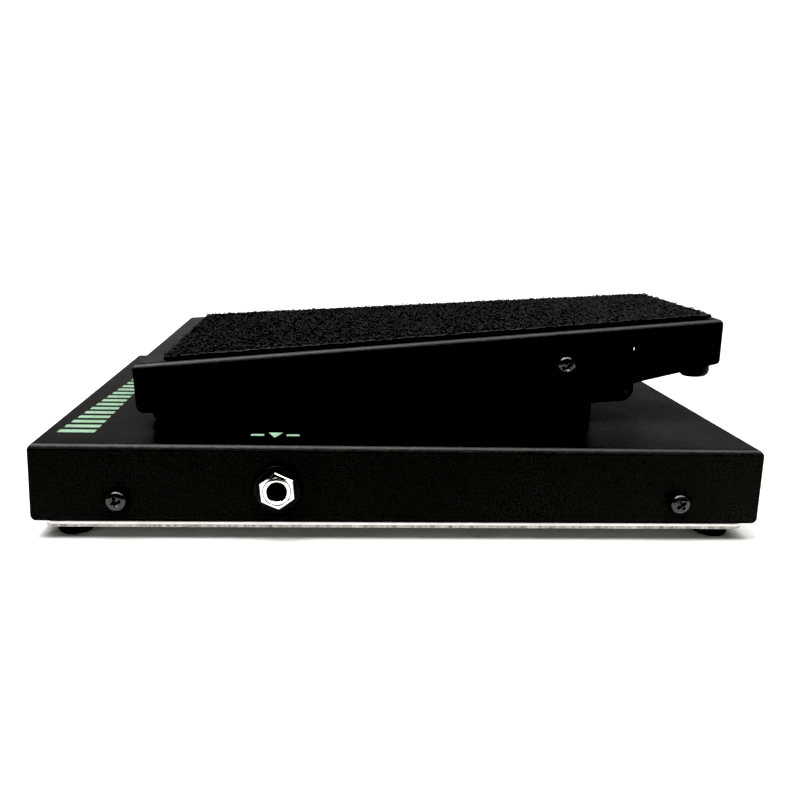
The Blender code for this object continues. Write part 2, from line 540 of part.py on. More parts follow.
for sx, nm, m in ((1, "lamp_holder", LED_RED), (-1, "photocell_holder", CELL)):
    blk = box(min(sx * 3.2, sx * 9.2), max(sx * 3.2, sx * 9.2), OPTO_Y - 5, OPTO_Y + 5, PCB1 + GAP, OPTO_Z + 4.6)
    bevel(blk, lambda a, b: abs(a.z - b.z) > 5, 0.8, 2)
    ob = piece(nm, blk, BLACK_PLASTIC)
    cut(ob, cylinder("X", (0, OPTO_Y, OPTO_Z), 2.5, sx * 8.0, sx * 13.2, 12), "add_" + nm, "UNION")
    cut(ob, cylinder("X", (0, OPTO_Y, OPTO_Z), 1.5, sx * 0.0, sx * 5.4, 10), "cut_" + nm)

bx = 24.25
bat = box(-bx, bx - 2.3, BAT_Y - 13.1, BAT_Y + 13.1, PLATE_Z1 + 1.9, PLATE_Z1 + 19.2)
bevel(bat, lambda a, b: abs(a.x - b.x) > 5, 2.0, 3)
battery = piece("battery_9v", bat, BATTERY, smooth=35)
zc = PLATE_Z1 + 10.55
cut(battery, cylinder("X", (0, BAT_Y + 6.4, zc), 2.9, bx - 4, bx, 12), "add_plus_stud", "UNION")
cut(battery, cylinder("X", (0, BAT_Y - 6.4, zc), 2.9, bx - 4, bx, 6), "add_minus_stud", "UNION")
snap = box(bx + GAP, bx + 3.6, BAT_Y - 12.0, BAT_Y + 12.0, zc - 6.0, zc + 6.0)
bevel(snap, lambda a, b: abs(a.x - b.x) > 2, 2.5, 3)
piece("battery_snap", snap, BLACK_PLASTIC, smooth=35)


def lead(name, pts, d, mat):
    """An insulated lead: a smooth curve read at even steps, as a tube with closed ends."""
    pts = [Vector(p) for p in pts]
    dense = []
    for i in range(len(pts) - 1):
        p0, p1, p2, p3 = pts[max(i - 1, 0)], pts[i], pts[i + 1], pts[min(i + 2, len(pts) - 1)]
        for k in range(4):
            s = k / 4
            dense.append(0.5 * ((2 * p1) + (p2 - p0) * s + (2 * p0 - 5 * p1 + 4 * p2 - p3) * s * s
                                + (3 * p1 - p0 - 3 * p2 + p3) * s ** 3))
    dense.append(pts[-1])
    cu = bpy.data.curves.new(name, "CURVE")
    cu.dimensions = "3D"
    cu.bevel_depth = d / 2 * MM
    cu.bevel_resolution = 2
    cu.use_fill_caps = True
    sp = cu.splines.new("POLY")
    sp.points.add(len(dense) - 1)
    for p, q in zip(sp.points, dense):
        p.co = (*(q * MM), 1.0)
    cu.materials.append(mat)
    ob = bpy.data.objects.new(name, cu)
    SCENE.objects.link(ob)
    return ob


for k, (nm, m, dy) in enumerate((("battery_lead_red", WIRE_RED, 4.0), ("battery_lead_black", WIRE_BLACK, -4.0))):
    x0 = bx + 3.6 + GAP
    o = 3.4 * k
    lead(nm, [(x0, BAT_Y + dy, zc), (x0 + 3 + o, BAT_Y + dy + 0.6, zc), (x0 + 7 + o, BAT_Y + 13, zc - 1), (x0 + 4 + o, -66.0, 14.5),
              (29.0 + o, -54.0, 14.2), (26.0 + o, -46.0, PCB1 + 2.6), (26.0 + o, -42.5, PCB1 + 1.2)], 1.3, m)
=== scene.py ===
"""Looks of the volume pedal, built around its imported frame. Lengths below are in millimetres
in the row frame unless a line says otherwise; MM turns them into metres."""
import math
import random

import bmesh
import bpy
import numpy as np
from mathutils import Matrix, Vector, noise


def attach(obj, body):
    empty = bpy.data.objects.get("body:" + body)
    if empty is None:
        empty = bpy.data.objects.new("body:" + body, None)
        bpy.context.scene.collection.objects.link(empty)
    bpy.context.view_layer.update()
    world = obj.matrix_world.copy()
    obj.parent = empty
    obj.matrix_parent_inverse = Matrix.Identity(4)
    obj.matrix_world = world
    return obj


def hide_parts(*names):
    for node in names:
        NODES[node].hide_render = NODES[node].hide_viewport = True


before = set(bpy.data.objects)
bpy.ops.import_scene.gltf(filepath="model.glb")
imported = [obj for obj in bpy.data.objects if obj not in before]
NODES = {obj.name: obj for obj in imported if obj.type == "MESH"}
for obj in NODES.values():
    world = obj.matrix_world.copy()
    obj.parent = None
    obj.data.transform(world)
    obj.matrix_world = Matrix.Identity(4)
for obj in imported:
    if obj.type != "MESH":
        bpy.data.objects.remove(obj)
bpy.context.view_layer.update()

MM = 0.001

# ------------------------------------------------------------------------------
# shared dimensions of the part
# ------------------------------------------------------------------------------
HX, HY = 76.2, 123.825
WALL_Z0, BASE_TOP, SHEET, BEND_R = 6.7, 33.1, 1.6, 2.1
PLATE_Z0, PLATE_Z1, PLATE_X, PLATE_Y = 4.0, 6.3, 75.4, 120.0
TAB_Y, TAB_W, TAB_TOP, TAB_X0, TAB_X1 = 95.5, 16.0, 20.5, 72.5, 74.2
SIDE_SCREW_Z = 14.0
PIVOT_Y, PIVOT_Z, TILT = -62.1, 55.4, 4.53
TREADLE_X, HEEL_X, TR_TOP, TR_TOE, TR_HEEL, TR_SHEET = 57.5, 38.2, 12.75, 155.5, -62.9, 1.5
TOE_DROP, MID_DROP, HEEL_DROP, MID_Y, LIP = -4.25, -17.1, -4.4, 30.0, 14.0
HEEL_LEAN = 1.35
TAPER = (TREADLE_X - HEEL_X) / (TR_TOE - TR_HEEL)
JIG_HOLE_Y, JIG_HOLE_Z = -26.3, 4.0
CH_X, CH_Y, CH_BOTTOM, ROD_Y, ROD_Z = 39.0, 27.7, -16.4, -23.3, -12.6
BR_X, BR_HALF, BR_T, BR_BOSS_R = 34.5, 14.0, 1.6, 8.0
PAD_X, PAD_Y0, PAD_Y1, PAD_T = TREADLE_X - 3.9, -60.2, 146.1, 2.3
HEEL_BUMPER = (31.5, -54.6, 5.6, 5.2)
TOE_BUMPER = (44.0, TR_TOE - 7.6, 5.25, 5.5)
PIVOT_SEAT = 44.4
JACK_Y, JACK_Z, JACK_OUT, DC_Y = 42.5, 18.4, 79.7, 72.0
VANE_Y = 43.0
GAP = 0.3
TREADLE = Matrix.Translation((0, PIVOT_Y, PIVOT_Z)) @ Matrix.Rotation(math.radians(-TILT), 4, "X")


# ------------------------------------------------------------------------------
# mesh helpers, all in millimetres
# ------------------------------------------------------------------------------
def box(x0, x1, y0, y1, z0, z1, bm=None):
    bm = bm or bmesh.new()
    r = bmesh.ops.create_cube(bm, size=1.0)
    for v in r["verts"]:
        v.co = Vector((x0 if v.co.x < 0 else x1, y0 if v.co.y < 0 else y1, z0 if v.co.z < 0 else z1))
    return bm


def place(axis, u, v, a):
    if axis == "X":
        return Vector((a, u, v))
    if axis == "Y":
        return Vector((u, a, v))
    return Vector((u, v, a))


def loft(rings, bm=None, caps=True):
    """A closed solid through rings of equal count."""
    bm = bm or bmesh.new()
    rows = [[bm.verts.new(p) for p in ring] for ring in rings]
    n = len(rows[0])
    for a, b in zip(rows, rows[1:]):
        for k in range(n):
            bm.faces.new([a[k], a[(k + 1) % n], b[(k + 1) % n], b[k]])
    if caps:
        bm.faces.new(list(reversed(rows[0])))
        bm.faces.new(rows[-1])
    return bm


def prism(outline, axis, a0, a1, bm=None):
    return loft([[place(axis, u, v, a) for u, v in outline] for a in (a0, a1)], bm)


def lathe(profile, axis="Z", centre=(0, 0, 0), n=48, flip=False, phase=0.0, bm=None):
    bm = bm or bmesh.new()
    c = Vector(centre)
    rings = []
    for r, h in profile:
        h = -h if flip else h
        if r <= 1e-9:
            rings.append([bm.verts.new(c + place(axis, 0, 0, h))])
        else:
            rings.append([bm.verts.new(c + place(axis, r * math.cos(phase + 2 * math.pi * k / n),
                                                 r * math.sin(phase + 2 * math.pi * k / n), h)) for k in range(n)])
    count = len(rings)
    closed = all(len(g) > 1 for g in rings)
    for i in range(count if closed else count - 1):
        a, b = rings[i], rings[(i + 1) % count]
        for k in range(n):
            q = [a[k % len(a)], a[(k + 1) % len(a)], b[(k + 1) % len(b)], b[k % len(b)]]
            uniq = []
            for v in q:
                if v not in uniq:
                    uniq.append(v)
            if len(uniq) > 2:
                bm.faces.new(uniq)
    return bm


def cylinder(axis, centre, r, a0, a1, n=32, phase=0.0, bm=None):
    return lathe([(0, a0), (r, a0), (r, a1), (0, a1)], axis, centre, n, phase=phase, bm=bm)


def bevel(bm, test, width, segments=3, profile=0.5):
    edges = [e for e in bm.edges if test(e.verts[0].co, e.verts[1].co)]
    bmesh.ops.bevel(bm, geom=edges, offset=width, offset_type="OFFSET", segments=segments,
                    profile=profile, affect="EDGES")
    return bm


def arc(cy, cz, r, a0, a1, n):
    return [(cy + r * math.cos(math.radians(a0 + (a1 - a0) * i / n)),
             cz + r * math.sin(math.radians(a0 + (a1 - a0) * i / n))) for i in range(n + 1)]


def rounded(points, radii, n=6):
    out = []
    m = len(points)
    for i, (p, r) in enumerate(zip(points, radii)):
        p = Vector(p)
        a = (Vector(points[i - 1]) - p).normalized()
        b = (Vector(points[(i + 1) % m]) - p).normalized()
        if r <= 0:
            out.append((p.x, p.y))
            continue
        half = math.acos(max(-1.0, min(1.0, a.dot(b)))) / 2
        t = r / math.tan(half)
        centre = p + (a + b).normalized() * (r / math.sin(half))
        s, e = p + a * t - centre, p + b * t - centre
        a0 = math.atan2(s.y, s.x)
        d = math.atan2(s.x * e.y - s.y * e.x, s.dot(e))
        for k in range(n + 1):
            out.append((centre.x + r * math.cos(a0 + d * k / n), centre.y + r * math.sin(a0 + d * k / n)))
    return out


def rectangle(x0, x1, y0, y1, r, n=6):
    return rounded([(x0, y0), (x1, y0), (x1, y1), (x0, y1)], [r] * 4, n)


def half_width(y):
    return HEEL_X + TAPER * (y - TR_HEEL)


def narrow(bm):
    """Bring the sides of a treadle piece in towards the heel."""
    for v in bm.verts:
        v.co.x = math.copysign(abs(v.co.x) - TREADLE_X + half_width(v.co.y), v.co.x)
    return bm


def hexagon(r_flat, turn=0.0):
    r = r_flat / math.cos(math.pi / 6)
    return [(r * math.cos(turn + math.pi * k / 3), r * math.sin(turn + math.pi * k / 3)) for k in range(6)]


def to_mesh(name, bm, clean=True):
    if clean:
        bmesh.ops.remove_doubles(bm, verts=bm.verts, dist=1e-4)
        bmesh.ops.recalc_face_normals(bm, faces=bm.faces)
    me = bpy.data.meshes.new(name)
    bm.to_mesh(me)
    bm.free()
    return me


def solid(name, bm, cuts=(), matrix=None):
    """bm with each (cutter, operation) applied, as a mesh still in millimetres."""
    me = to_mesh(name, bm)
    if cuts:
        scene = bpy.context.scene.collection
        ob = bpy.data.objects.new("tmp_" + name, me)
        scene.objects.link(ob)
        extra = []
        for i, (cutter, op) in enumerate(cuts):
            cme = to_mesh("tmp_cut", cutter)
            co = bpy.data.objects.new("tmp_cut_%d" % i, cme)
            scene.objects.link(co)
            extra.append(co)
            mod = ob.modifiers.new("b%d" % i, "BOOLEAN")
            mod.operation, mod.solver, mod.object = op, "EXACT", co
        bpy.context.view_layer.update()
        dg = bpy.context.evaluated_depsgraph_get()
        done = bpy.data.meshes.new_from_object(ob.evaluated_get(dg))
        done.name = name
        for o in [ob, *extra]:
            data = o.data
            bpy.data.objects.remove(o, do_unlink=True)
            bpy.data.meshes.remove(data)
        me = done
    if matrix is not None:
        me.transform(matrix)
    return me


def add(name, me, body, mats, stands_for=(), sharp=32, weighted=True, mm=True):
    """The mesh as a piece of the object, riding on a body."""
    if mm:
        me.transform(Matrix.Scale(MM, 4))
    me.name = name
    me.materials.clear()
    for m in (mats if isinstance(mats, (list, tuple)) else [mats]):
        me.materials.append(m)
    if sharp is not None:
        me.shade_smooth()
        me.set_sharp_from_angle(angle=math.radians(sharp))
    ob = bpy.data.objects.new(name, me)
    bpy.context.scene.collection.objects.link(ob)
    if weighted and sharp is not None:
        w = ob.modifiers.new("even_faces", "WEIGHTED_NORMAL")
        w.keep_sharp = True
        w.weight = 100
    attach(ob, body)
    if stands_for:
        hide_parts(*([stands_for] if isinstance(stands_for, str) else stands_for))
    return ob


# ------------------------------------------------------------------------------
# camera: near the left-hand side, a little above the treadle
# ------------------------------------------------------------------------------
cam_data = bpy.data.cameras.new("camera")
cam = bpy.data.objects.new("camera", cam_data)
bpy.context.scene.collection.objects.link(cam)
cam_data.sensor_width = 36.0
cam_data.lens = 35.865
cam_data.shift_x, cam_data.shift_y = 0.0326, -0.0599
cam_data.clip_start, cam_data.clip_end = 0.01, 50.0
cam.matrix_world = Matrix(((-0.05293, 0.18787, -0.98077, -0.3307),
                           (-0.99824, 0.01630, 0.05700, 0.0262),
                           (0.02670, 0.98206, 0.18667, 0.1138),
                           (0, 0, 0, 1)))
bpy.context.scene.camera = cam
bpy.context.scene.view_settings.view_transform = "Standard"
bpy.context.scene.view_settings.look = "None"
# a hard black point, as in high-contrast product photography
bpy.context.scene.view_settings.use_curve_mapping = True
grade = bpy.context.scene.view_settings.curve_mapping
grade.black_level = (0.021, 0.021, 0.021)
grade.update()


# ------------------------------------------------------------------------------
# materials
# ------------------------------------------------------------------------------
class Nodes:
    """A few short calls for building a Principled material."""

    def __init__(self, name, base=(0.5, 0.5, 0.5), rough=0.5, metal=0.0, spec=0.5):
        self.m = bpy.data.materials.new(name)
        self.m.use_nodes = True
        self.t = self.m.node_tree
        self.b = self.t.nodes["Principled BSDF"]
        self.b.inputs["Base Color"].default_value = (*base, 1.0)
        self.b.inputs["Roughness"].default_value = rough
        self.b.inputs["Metallic"].default_value = metal
        self.b.inputs["Specular IOR Level"].default_value = spec
        self.m.diffuse_color = (*base, 1.0)
        self.co = self.t.nodes.new("ShaderNodeTexCoord").outputs["Object"]
        self.normal = None

    def link(self, a, b):
        self.t.links.new(a, b)

    def stretch(self, scale, rotate=(0, 0, 0)):
        n = self.t.nodes.new("ShaderNodeMapping")
        n.inputs["Scale"].default_value = scale
        n.inputs["Rotation"].default_value = rotate
        self.link(self.co, n.inputs["Vector"])
        return n.outputs["Vector"]

    def noise(self, scale, detail=2.0, rough=0.5, co=None, distort=0.0):
        n = self.t.nodes.new("ShaderNodeTexNoise")
        n.inputs["Scale"].default_value = scale
        n.inputs["Detail"].default_value = detail
        n.inputs["Roughness"].default_value = rough
        n.inputs["Distortion"].default_value = distort
        self.link(co or self.co, n.inputs["Vector"])
        return n.outputs["Fac"]

    def cells(self, scale, feature="F1", co=None, out="Distance"):
        n = self.t.nodes.new("ShaderNodeTexVoronoi")
        n.feature = feature
        n.inputs["Scale"].default_value = scale
        self.link(co or self.co, n.inputs["Vector"])
        return n.outputs[out]

    def remap(self, x, a0, a1, b0, b1):
        n = self.t.nodes.new("ShaderNodeMapRange")
        for k, v in zip(("From Min", "From Max", "To Min", "To Max"), (a0, a1, b0, b1)):
            n.inputs[k].default_value = v
        self.link(x, n.inputs["Value"])
        return n.outputs["Result"]

    def math(self, op, a, b):
        n = self.t.nodes.new("ShaderNodeMath")
        n.operation = op
        for i, x in enumerate((a, b)):
            if isinstance(x, (int, float)):
                n.inputs[i].default_value = x
            else:
                self.link(x, n.inputs[i])
        return n.outputs[0]

    def mix(self, fac, a, b):
        n = self.t.nodes.new("ShaderNodeMix")
        n.data_type = "RGBA"
        self.link(fac, n.inputs["Factor"])
        for key, x in (("A", a), ("B", b)):
            i = [s for s in n.inputs if s.name == key and s.type == "RGBA"][0]
            if isinstance(x, tuple):
                i.default_value = (*x, 1.0)
            else:
                self.link(x, i)
        return [o for o in n.outputs if o.type == "RGBA"][0]

    def bump(self, height, distance_mm, strength=1.0):
        n = self.t.nodes.new("ShaderNodeBump")
        n.inputs["Distance"].default_value = distance_mm * MM
        n.inputs["Strength"].default_value = strength
        self.link(height, n.inputs["Height"])
        if self.normal is not None:
            self.link(self.normal, n.inputs["Normal"])
        self.normal = n.outputs["Normal"]
        self.link(self.normal, self.b.inputs["Normal"])
        return self

    def color(self, c):
        self.link(c, self.b.inputs["Base Color"])
        return self

    def roughness(self, r):
        self.link(r, self.b.inputs["Roughness"])
        return self


def powder_coat(name, grain=1.0, spec=0.105, dull=0.0):
    n = Nodes(name, (0.003, 0.003, 0.003), 0.36, spec=spec)
    fine = n.noise(2600, 3.0, 0.62)
    peel = n.noise(430, 2.0, 0.5)
    broad = n.noise(38, 3.0, 0.55)
    n.color(n.mix(n.remap(fine, 0.38, 0.68, 0, 1), (0.0042, 0.0042, 0.0041), (0.0110, 0.0109, 0.0105)))
    n.roughness(n.math("ADD", n.remap(broad, 0.3, 0.7, 0.24 + dull, 0.30 + dull), n.remap(fine, 0.3, 0.7, 0.0, 0.08)))
    n.bump(peel, 0.06 * grain, 0.9)
    n.bump(n.noise(1150, 2.0, 0.6), 0.075 * grain, 1.0)
    n.bump(fine, 0.05 * grain, 1.0)
    return n.m


def plated(name, base=(0.60, 0.59, 0.56), lo=0.22, hi=0.42, grain=(60, 2200, 60), scratch=0.012):
    n = Nodes(name, base, 0.3, 1.0)
    spangle = n.noise(140, 3.0, 0.6)
    fine = n.noise(1500, 2.0, 0.6)
    lines = n.noise(1.0, 2.0, 0.6, n.stretch(grain))
    n.color(n.mix(n.remap(spangle, 0.3, 0.7, 0, 1), tuple(0.80 * c for c in base), tuple(min(1, 1.12 * c) for c in base)))
    n.roughness(n.math("ADD", n.remap(spangle, 0.3, 0.7, lo, hi - 0.08), n.remap(fine, 0.3, 0.7, 0.0, 0.08)))
    n.bump(lines, scratch, 0.6)
    n.bump(fine, 0.006, 0.5)
    return n.m


def torn_edge_painted_shade(name):
    """The rough lower part of a sheared plate edge: its torn grain is real, its darker colour is painted shade for the
    shadowed floor it reflects.
    """
    n = Nodes(name, (0.34, 0.33, 0.31), 0.5, 1.0)
    tear = n.noise(1.0, 4.0, 0.7, n.stretch((900, 900, 260)))
    blot = n.noise(160, 3.0, 0.6)
    # darker mottled colour: partly the real fracture grain, partly painted shade for the shadowed floor this face
    # reflects
    n.color(n.mix(n.remap(tear, 0.35, 0.65, 0, 1), (0.14, 0.135, 0.125), (0.50, 0.49, 0.46)))
    n.roughness(n.remap(blot, 0.3, 0.7, 0.38, 0.62))
    n.bump(tear, 0.12, 0.9)
    return n.m


def oxide(name):
    n = Nodes(name, (0.012, 0.012, 0.013), 0.16, 0.0, spec=0.5)
    wear = n.noise(900, 3.0, 0.6)
    n.color(n.mix(n.remap(wear, 0.45, 0.72, 0, 1), (0.007, 0.007, 0.008), (0.03, 0.028, 0.026)))
    n.roughness(n.remap(n.noise(1500, 2.0), 0.3, 0.7, 0.10, 0.24))
    n.bump(wear, 0.02, 0.6)
    return n.m


def rubber(name):
    n = Nodes(name, (0.012, 0.012, 0.012), 0.7, spec=0.12)
    fine = n.noise(1900, 3.0, 0.6)
    broad = n.noise(180, 3.0, 0.6)
    n.color(n.mix(n.remap(broad, 0.35, 0.7, 0, 1), (0.008, 0.008, 0.008), (0.022, 0.021, 0.020)))
    n.roughness(n.remap(fine, 0.3, 0.7, 0.5, 0.8))
    n.bump(fine, 0.05, 0.8)
    return n.m


def plastic(name, dark=(0.006, 0.006, 0.0065), pale=(0.012, 0.012, 0.012), rough=(0.22, 0.42), spec=0.5, grain=0.02):
    n = Nodes(name, dark, 0.3, spec=spec)
    fine = n.noise(2200, 3.0, 0.6)
    broad = n.noise(90, 3.0, 0.6)
    n.color(n.mix(n.remap(broad, 0.3, 0.7, 0, 1), dark, pale))
    n.roughness(n.remap(n.noise(260, 3.0, 0.6), 0.3, 0.7, *rough))
    n.bump(fine, grain, 0.7)
    return n.m


def nickel(name):
    n = Nodes(name, (0.86, 0.85, 0.82), 0.07, 1.0)
    wave = n.noise(330, 2.0, 0.5)
    fine = n.noise(1.0, 2.0, 0.6, n.stretch((2600, 400, 2600), (0.3, 0, 0)))
    n.color(n.mix(n.remap(wave, 0.3, 0.7, 0, 1), (0.80, 0.79, 0.76), (0.90, 0.89, 0.87)))
    n.roughness(n.remap(fine, 0.3, 0.7, 0.04, 0.12))
    n.bump(wave, 0.02, 0.5)
    n.bump(fine, 0.003, 0.5)
    return n.m


def loop_fibre(name, bright):
    n = Nodes(name, (0.02, 0.02, 0.02), 0.42, spec=0.22)
    clump = n.noise(420, 3.0, 0.65)
    broad = n.noise(45, 3.0, 0.6)
    mid = n.mix(n.remap(clump, 0.35, 0.68, 0, 1), tuple(0.35 * c for c in bright), bright)
    n.color(n.mix(n.remap(broad, 0.4, 0.8, 0, 1), mid, tuple(1.25 * c for c in bright)))
    n.roughness(n.remap(clump, 0.3, 0.7, 0.34, 0.6))
    n.bump(n.noise(3600, 3.0, 0.7), 0.09, 0.9)
    return n.m


def print_ink(name):
    n = Nodes(name, (0.24, 0.34, 0.25), 0.42, spec=0.3)
    grain = n.noise(2400, 3.0, 0.6)
    streak = n.noise(160, 3.0, 0.6)
    a = n.mix(n.remap(streak, 0.3, 0.7, 0, 1), (0.18, 0.30, 0.20), (0.26, 0.41, 0.285))
    pits = n.remap(grain, 0.66, 0.74, 0.0, 1.0)
    n.color(n.mix(pits, a, (0.05, 0.085, 0.06)))
    n.roughness(n.remap(grain, 0.3, 0.7, 0.34, 0.55))
    n.bump(grain, 0.03, 0.8)
    return n.m


def board_mask(name):
    n = Nodes(name, (0.01, 0.07, 0.03), 0.3, spec=0.5)
    trace = n.cells(190, "DISTANCE_TO_EDGE")
    lines = n.remap(trace, 0.035, 0.06, 1.0, 0.0)
    n.color(n.mix(lines, (0.008, 0.055, 0.024), (0.016, 0.11, 0.045)))
    n.roughness(n.remap(n.noise(600, 2.0), 0.3, 0.7, 0.22, 0.4))
    n.bump(lines, 0.03, 0.8)
    return n.m


POWDER = powder_coat("powder_coat")
FOLD = powder_coat("powder_coat_on_folds", 1.5, 0.33, 0.12)
ZINC = plated("zinc_plate")
EDGE_BRIGHT = plated("sheared_edge_bright", (0.60, 0.59, 0.57), 0.24, 0.42, (40, 40, 1800), 0.02)
EDGE_TORN_SHADED = torn_edge_painted_shade("sheared_edge_torn_painted_shade")
STEEL = plated("bright_steel", (0.56, 0.55, 0.53), 0.2, 0.36, (900, 900, 900), 0.01)
ROD = plated("dulled_rod_end", (0.045, 0.044, 0.042), 0.40, 0.60, (900, 900, 900), 0.02)
OXIDE = oxide("black_oxide")
RUBBER = rubber("rubber")
CHROME = nickel("nickel")
GLOSS_BLACK = plastic("gloss_black", (0.004, 0.004, 0.0042), (0.008, 0.008, 0.008), (0.08, 0.2), 0.11, 0.008)
PLASTIC = plastic("black_plastic")
NYLON = plastic("nylon", (0.58, 0.56, 0.50), (0.70, 0.68, 0.62), (0.35, 0.55), 0.5, 0.015)
VANE = plastic("vane_paint", (0.010, 0.010, 0.010), (0.018, 0.018, 0.018), (0.5, 0.7), 0.3, 0.03)
# the backing colour sits far below the yarn's: painted shade between the curls
BACKING_GAP_SHADE = loop_fibre("loop_mat_painted_gap_shade", (0.0022, 0.0022, 0.0021))
FIBRE = loop_fibre("loop_yarn", (0.0182, 0.0178, 0.0172))
INK = print_ink("print_ink")
BOARD = board_mask("solder_mask")
JACKET = plastic("battery_jacket", (0.10, 0.11, 0.12), (0.16, 0.17, 0.18), (0.2, 0.35), 0.5, 0.006)
BAND = plastic("battery_band", (0.30, 0.14, 0.05), (0.40, 0.20, 0.08), (0.2, 0.35), 0.5, 0.006)
LEAD_RED = plastic("lead_red", (0.30, 0.012, 0.010), (0.42, 0.02, 0.016), (0.3, 0.45), 0.5, 0.01)
LEAD_BLACK = plastic("lead_black", (0.006, 0.006, 0.006), (0.014, 0.014, 0.014), (0.3, 0.45), 0.5, 0.01)
AMBER = plastic("photocell_face", (0.45, 0.26, 0.10), (0.6, 0.38, 0.16), (0.15, 0.3), 0.6, 0.006)

# ------------------------------------------------------------------------------
# base cover
# ------------------------------------------------------------------------------
outer = box(-HX, HX, -HY, HY, WALL_Z0, BASE_TOP)
bevel(outer, lambda a, b: a.z > BASE_TOP - 0.01 and b.z > BASE_TOP - 0.01, BEND_R, 8)
inner = box(-HX + SHEET, HX - SHEET, -HY + SHEET, HY - SHEET, WALL_Z0 - 10, BASE_TOP - SHEET)
bevel(inner, lambda a, b: a.z > BASE_TOP - SHEET - 0.01 and b.z > BASE_TOP - SHEET - 0.01, 0.8, 3)
holes = bmesh.new()
for sx in (-1, 1):
    for sy in (-1, 1):
        cylinder("X", (sx * HX, sy * TAB_Y, SIDE_SCREW_Z), 1.8, -5, 5, 20, bm=holes)
    cylinder("X", (sx * HX, JACK_Y, JACK_Z), 4.95, -5, 5, 40, bm=holes)
cylinder("X", (HX, DC_Y, JACK_Z), 6.1, -5, 5, 40, bm=holes)
BR_SCREWS = [(sx * 22.0, PIVOT_Y + sy * 8.5) for sx in (-1, 1) for sy in (-1, 1)]
for x, y in BR_SCREWS:
    cylinder("Z", (x, y, BASE_TOP), 1.8, -5, 5, 20, bm=holes)
slot_out = arc(0, -2.3, 2.4, 0, 180, 14) + [(u, v - 27.3) for u, v in arc(0, 0, 2.4, 180, 360, 14)]
prism(slot_out, "Z", BASE_TOP - 5, BASE_TOP + 5, holes)
# the lower corners of the four walls are rounded off
corners = bmesh.new()
for sx in (-1, 1):
    for sy in (-1, 1):
        r = 1.9
        y1, z1 = sy * HY, WALL_Z0
        out = [(y1 + sy * 2, z1 - 2), (y1 + sy * 2, z1 + r)] + \
              [(y1 - sy * r + sy * r * math.cos(math.radians(t)), z1 + r - r * math.sin(math.radians(t))) for t in range(0, 91, 10)] + \
              [(y1 - sy * r, z1 - 2)]
        a, b = sorted((sx * (HX - 4), sx * (HX + 3)))
        prism(out, "X", a, b, corners)
def mark_folds(ob, top, matrix=None):
    """Gives the rounded folds round the top their own, slightly polished coat."""
    inv = matrix.inverted() if matrix is not None else Matrix.Identity(4)
    turn = inv.to_3x3()
    for p in ob.data.polygons:
        n = turn @ p.normal
        c = inv @ (p.center / MM)
        if 0.14 < n.z < 0.992 and c.z > top - 2.2:
            p.material_index = 1


ob = add("base_cover_shell", solid("base_cover_shell", outer, [(inner, "DIFFERENCE"), (holes, "DIFFERENCE"), (corners, "DIFFERENCE")]),
         "base", [POWDER, FOLD], "base_cover")
mark_folds(ob, BASE_TOP)

# ------------------------------------------------------------------------------
# bottom plate, its sheared edge bright above and torn below, the torn band coloured darker as painted shade
# ------------------------------------------------------------------------------
EDGE = [(0.55, PLATE_Z0), (0.24, PLATE_Z0 + 0.16), (0.20, PLATE_Z0 + 1.10), (0.05, PLATE_Z0 + 1.20), (0.0, PLATE_Z0 + 1.30),
        (0.0, PLATE_Z1 - 0.30), (0.09, PLATE_Z1 - 0.09), (0.32, PLATE_Z1)]


def ring(d, z, r=3.2):
    return [(x, y, z) for x, y in rectangle(-PLATE_X + d, PLATE_X - d, -PLATE_Y + d, PLATE_Y - d, r - d, 8)]


plate = loft([ring(d, z) for d, z in EDGE])
more = bmesh.new()
tabs = []
for sx in (-1, 1):
    for sy in (-1, 1):
        xa, xb = sorted((sx * TAB_X0, sx * TAB_X1))
        tab = box(xa, xb, sy * TAB_Y - TAB_W / 2, sy * TAB_Y + TAB_W / 2, PLATE_Z0 + 0.6, TAB_TOP)
        bevel(tab, lambda a, b: a.z > TAB_TOP - 0.01 and b.z > TAB_TOP - 0.01 and abs(a.y - b.y) < 0.01, 2.0, 6)
        tabs.append(tab)
DOOR_X, DOOR_Y0, HINGE_Y, HINGE_Z = 27.5, -107.5, -77.0, PLATE_Z0 + 1.6
opening = prism(rectangle(-DOOR_X - 0.5, DOOR_X + 0.5, DOOR_Y0 - 0.5, -74.9, 1.2, 4), "Z", PLATE_Z0 - 5, PLATE_Z1 + 5)
cuts = [(t, "UNION") for t in tabs] + [(opening, "DIFFERENCE")]
for x0, x1 in ((-27.0, -15.0), (15.0, 27.0)):
    sec = [(-77.0, PLATE_Z0 + 0.15), (-74.0, PLATE_Z0 + 0.15), (-74.0, PLATE_Z1 - 0.15), (-77.0, PLATE_Z1 - 0.15)]
    cuts.append((prism(sec, "X", x0 + 0.2, x1 - 0.2), "UNION"))
    cuts.append((cylinder("X", (0, HINGE_Y, HINGE_Z), 1.6, x0, x1, 24), "UNION"))
holes = bmesh.new()
for sx in (-1, 1):
    for sy in (-1, 1):
        cylinder("X", (sx * 73.5, sy * TAB_Y, SIDE_SCREW_Z), 1.8, -3, 3, 20, bm=holes)
        cylinder("Z", (sx * 66.0, sy * 112.0, PLATE_Z0), 1.8, -3, 6, 20, bm=holes)
cylinder("X", (0, HINGE_Y, HINGE_Z), 1.0, -35, 35, 20, bm=holes)
cuts.append((holes, "DIFFERENCE"))
me = solid("bottom_plate_sheet", plate, cuts)
ob = add("bottom_plate_sheet", me, "base", [ZINC, EDGE_BRIGHT, EDGE_TORN_SHADED], "bottom_plate", sharp=30)
for p in me.polygons:
    c = p.center / MM
    outside = (abs(c.x) > PLATE_X - 0.7 or abs(c.y) > PLATE_Y - 0.7 or (abs(c.x) > PLATE_X - 4 and abs(c.y) > PLATE_Y - 4)) \
        and abs(p.normal.z) < 0.97
    # index 2, the lower band of the edge, carries the painted shade
    p.material_index = 0 if not outside else (1 if c.z > PLATE_Z0 + 1.14 else 2)


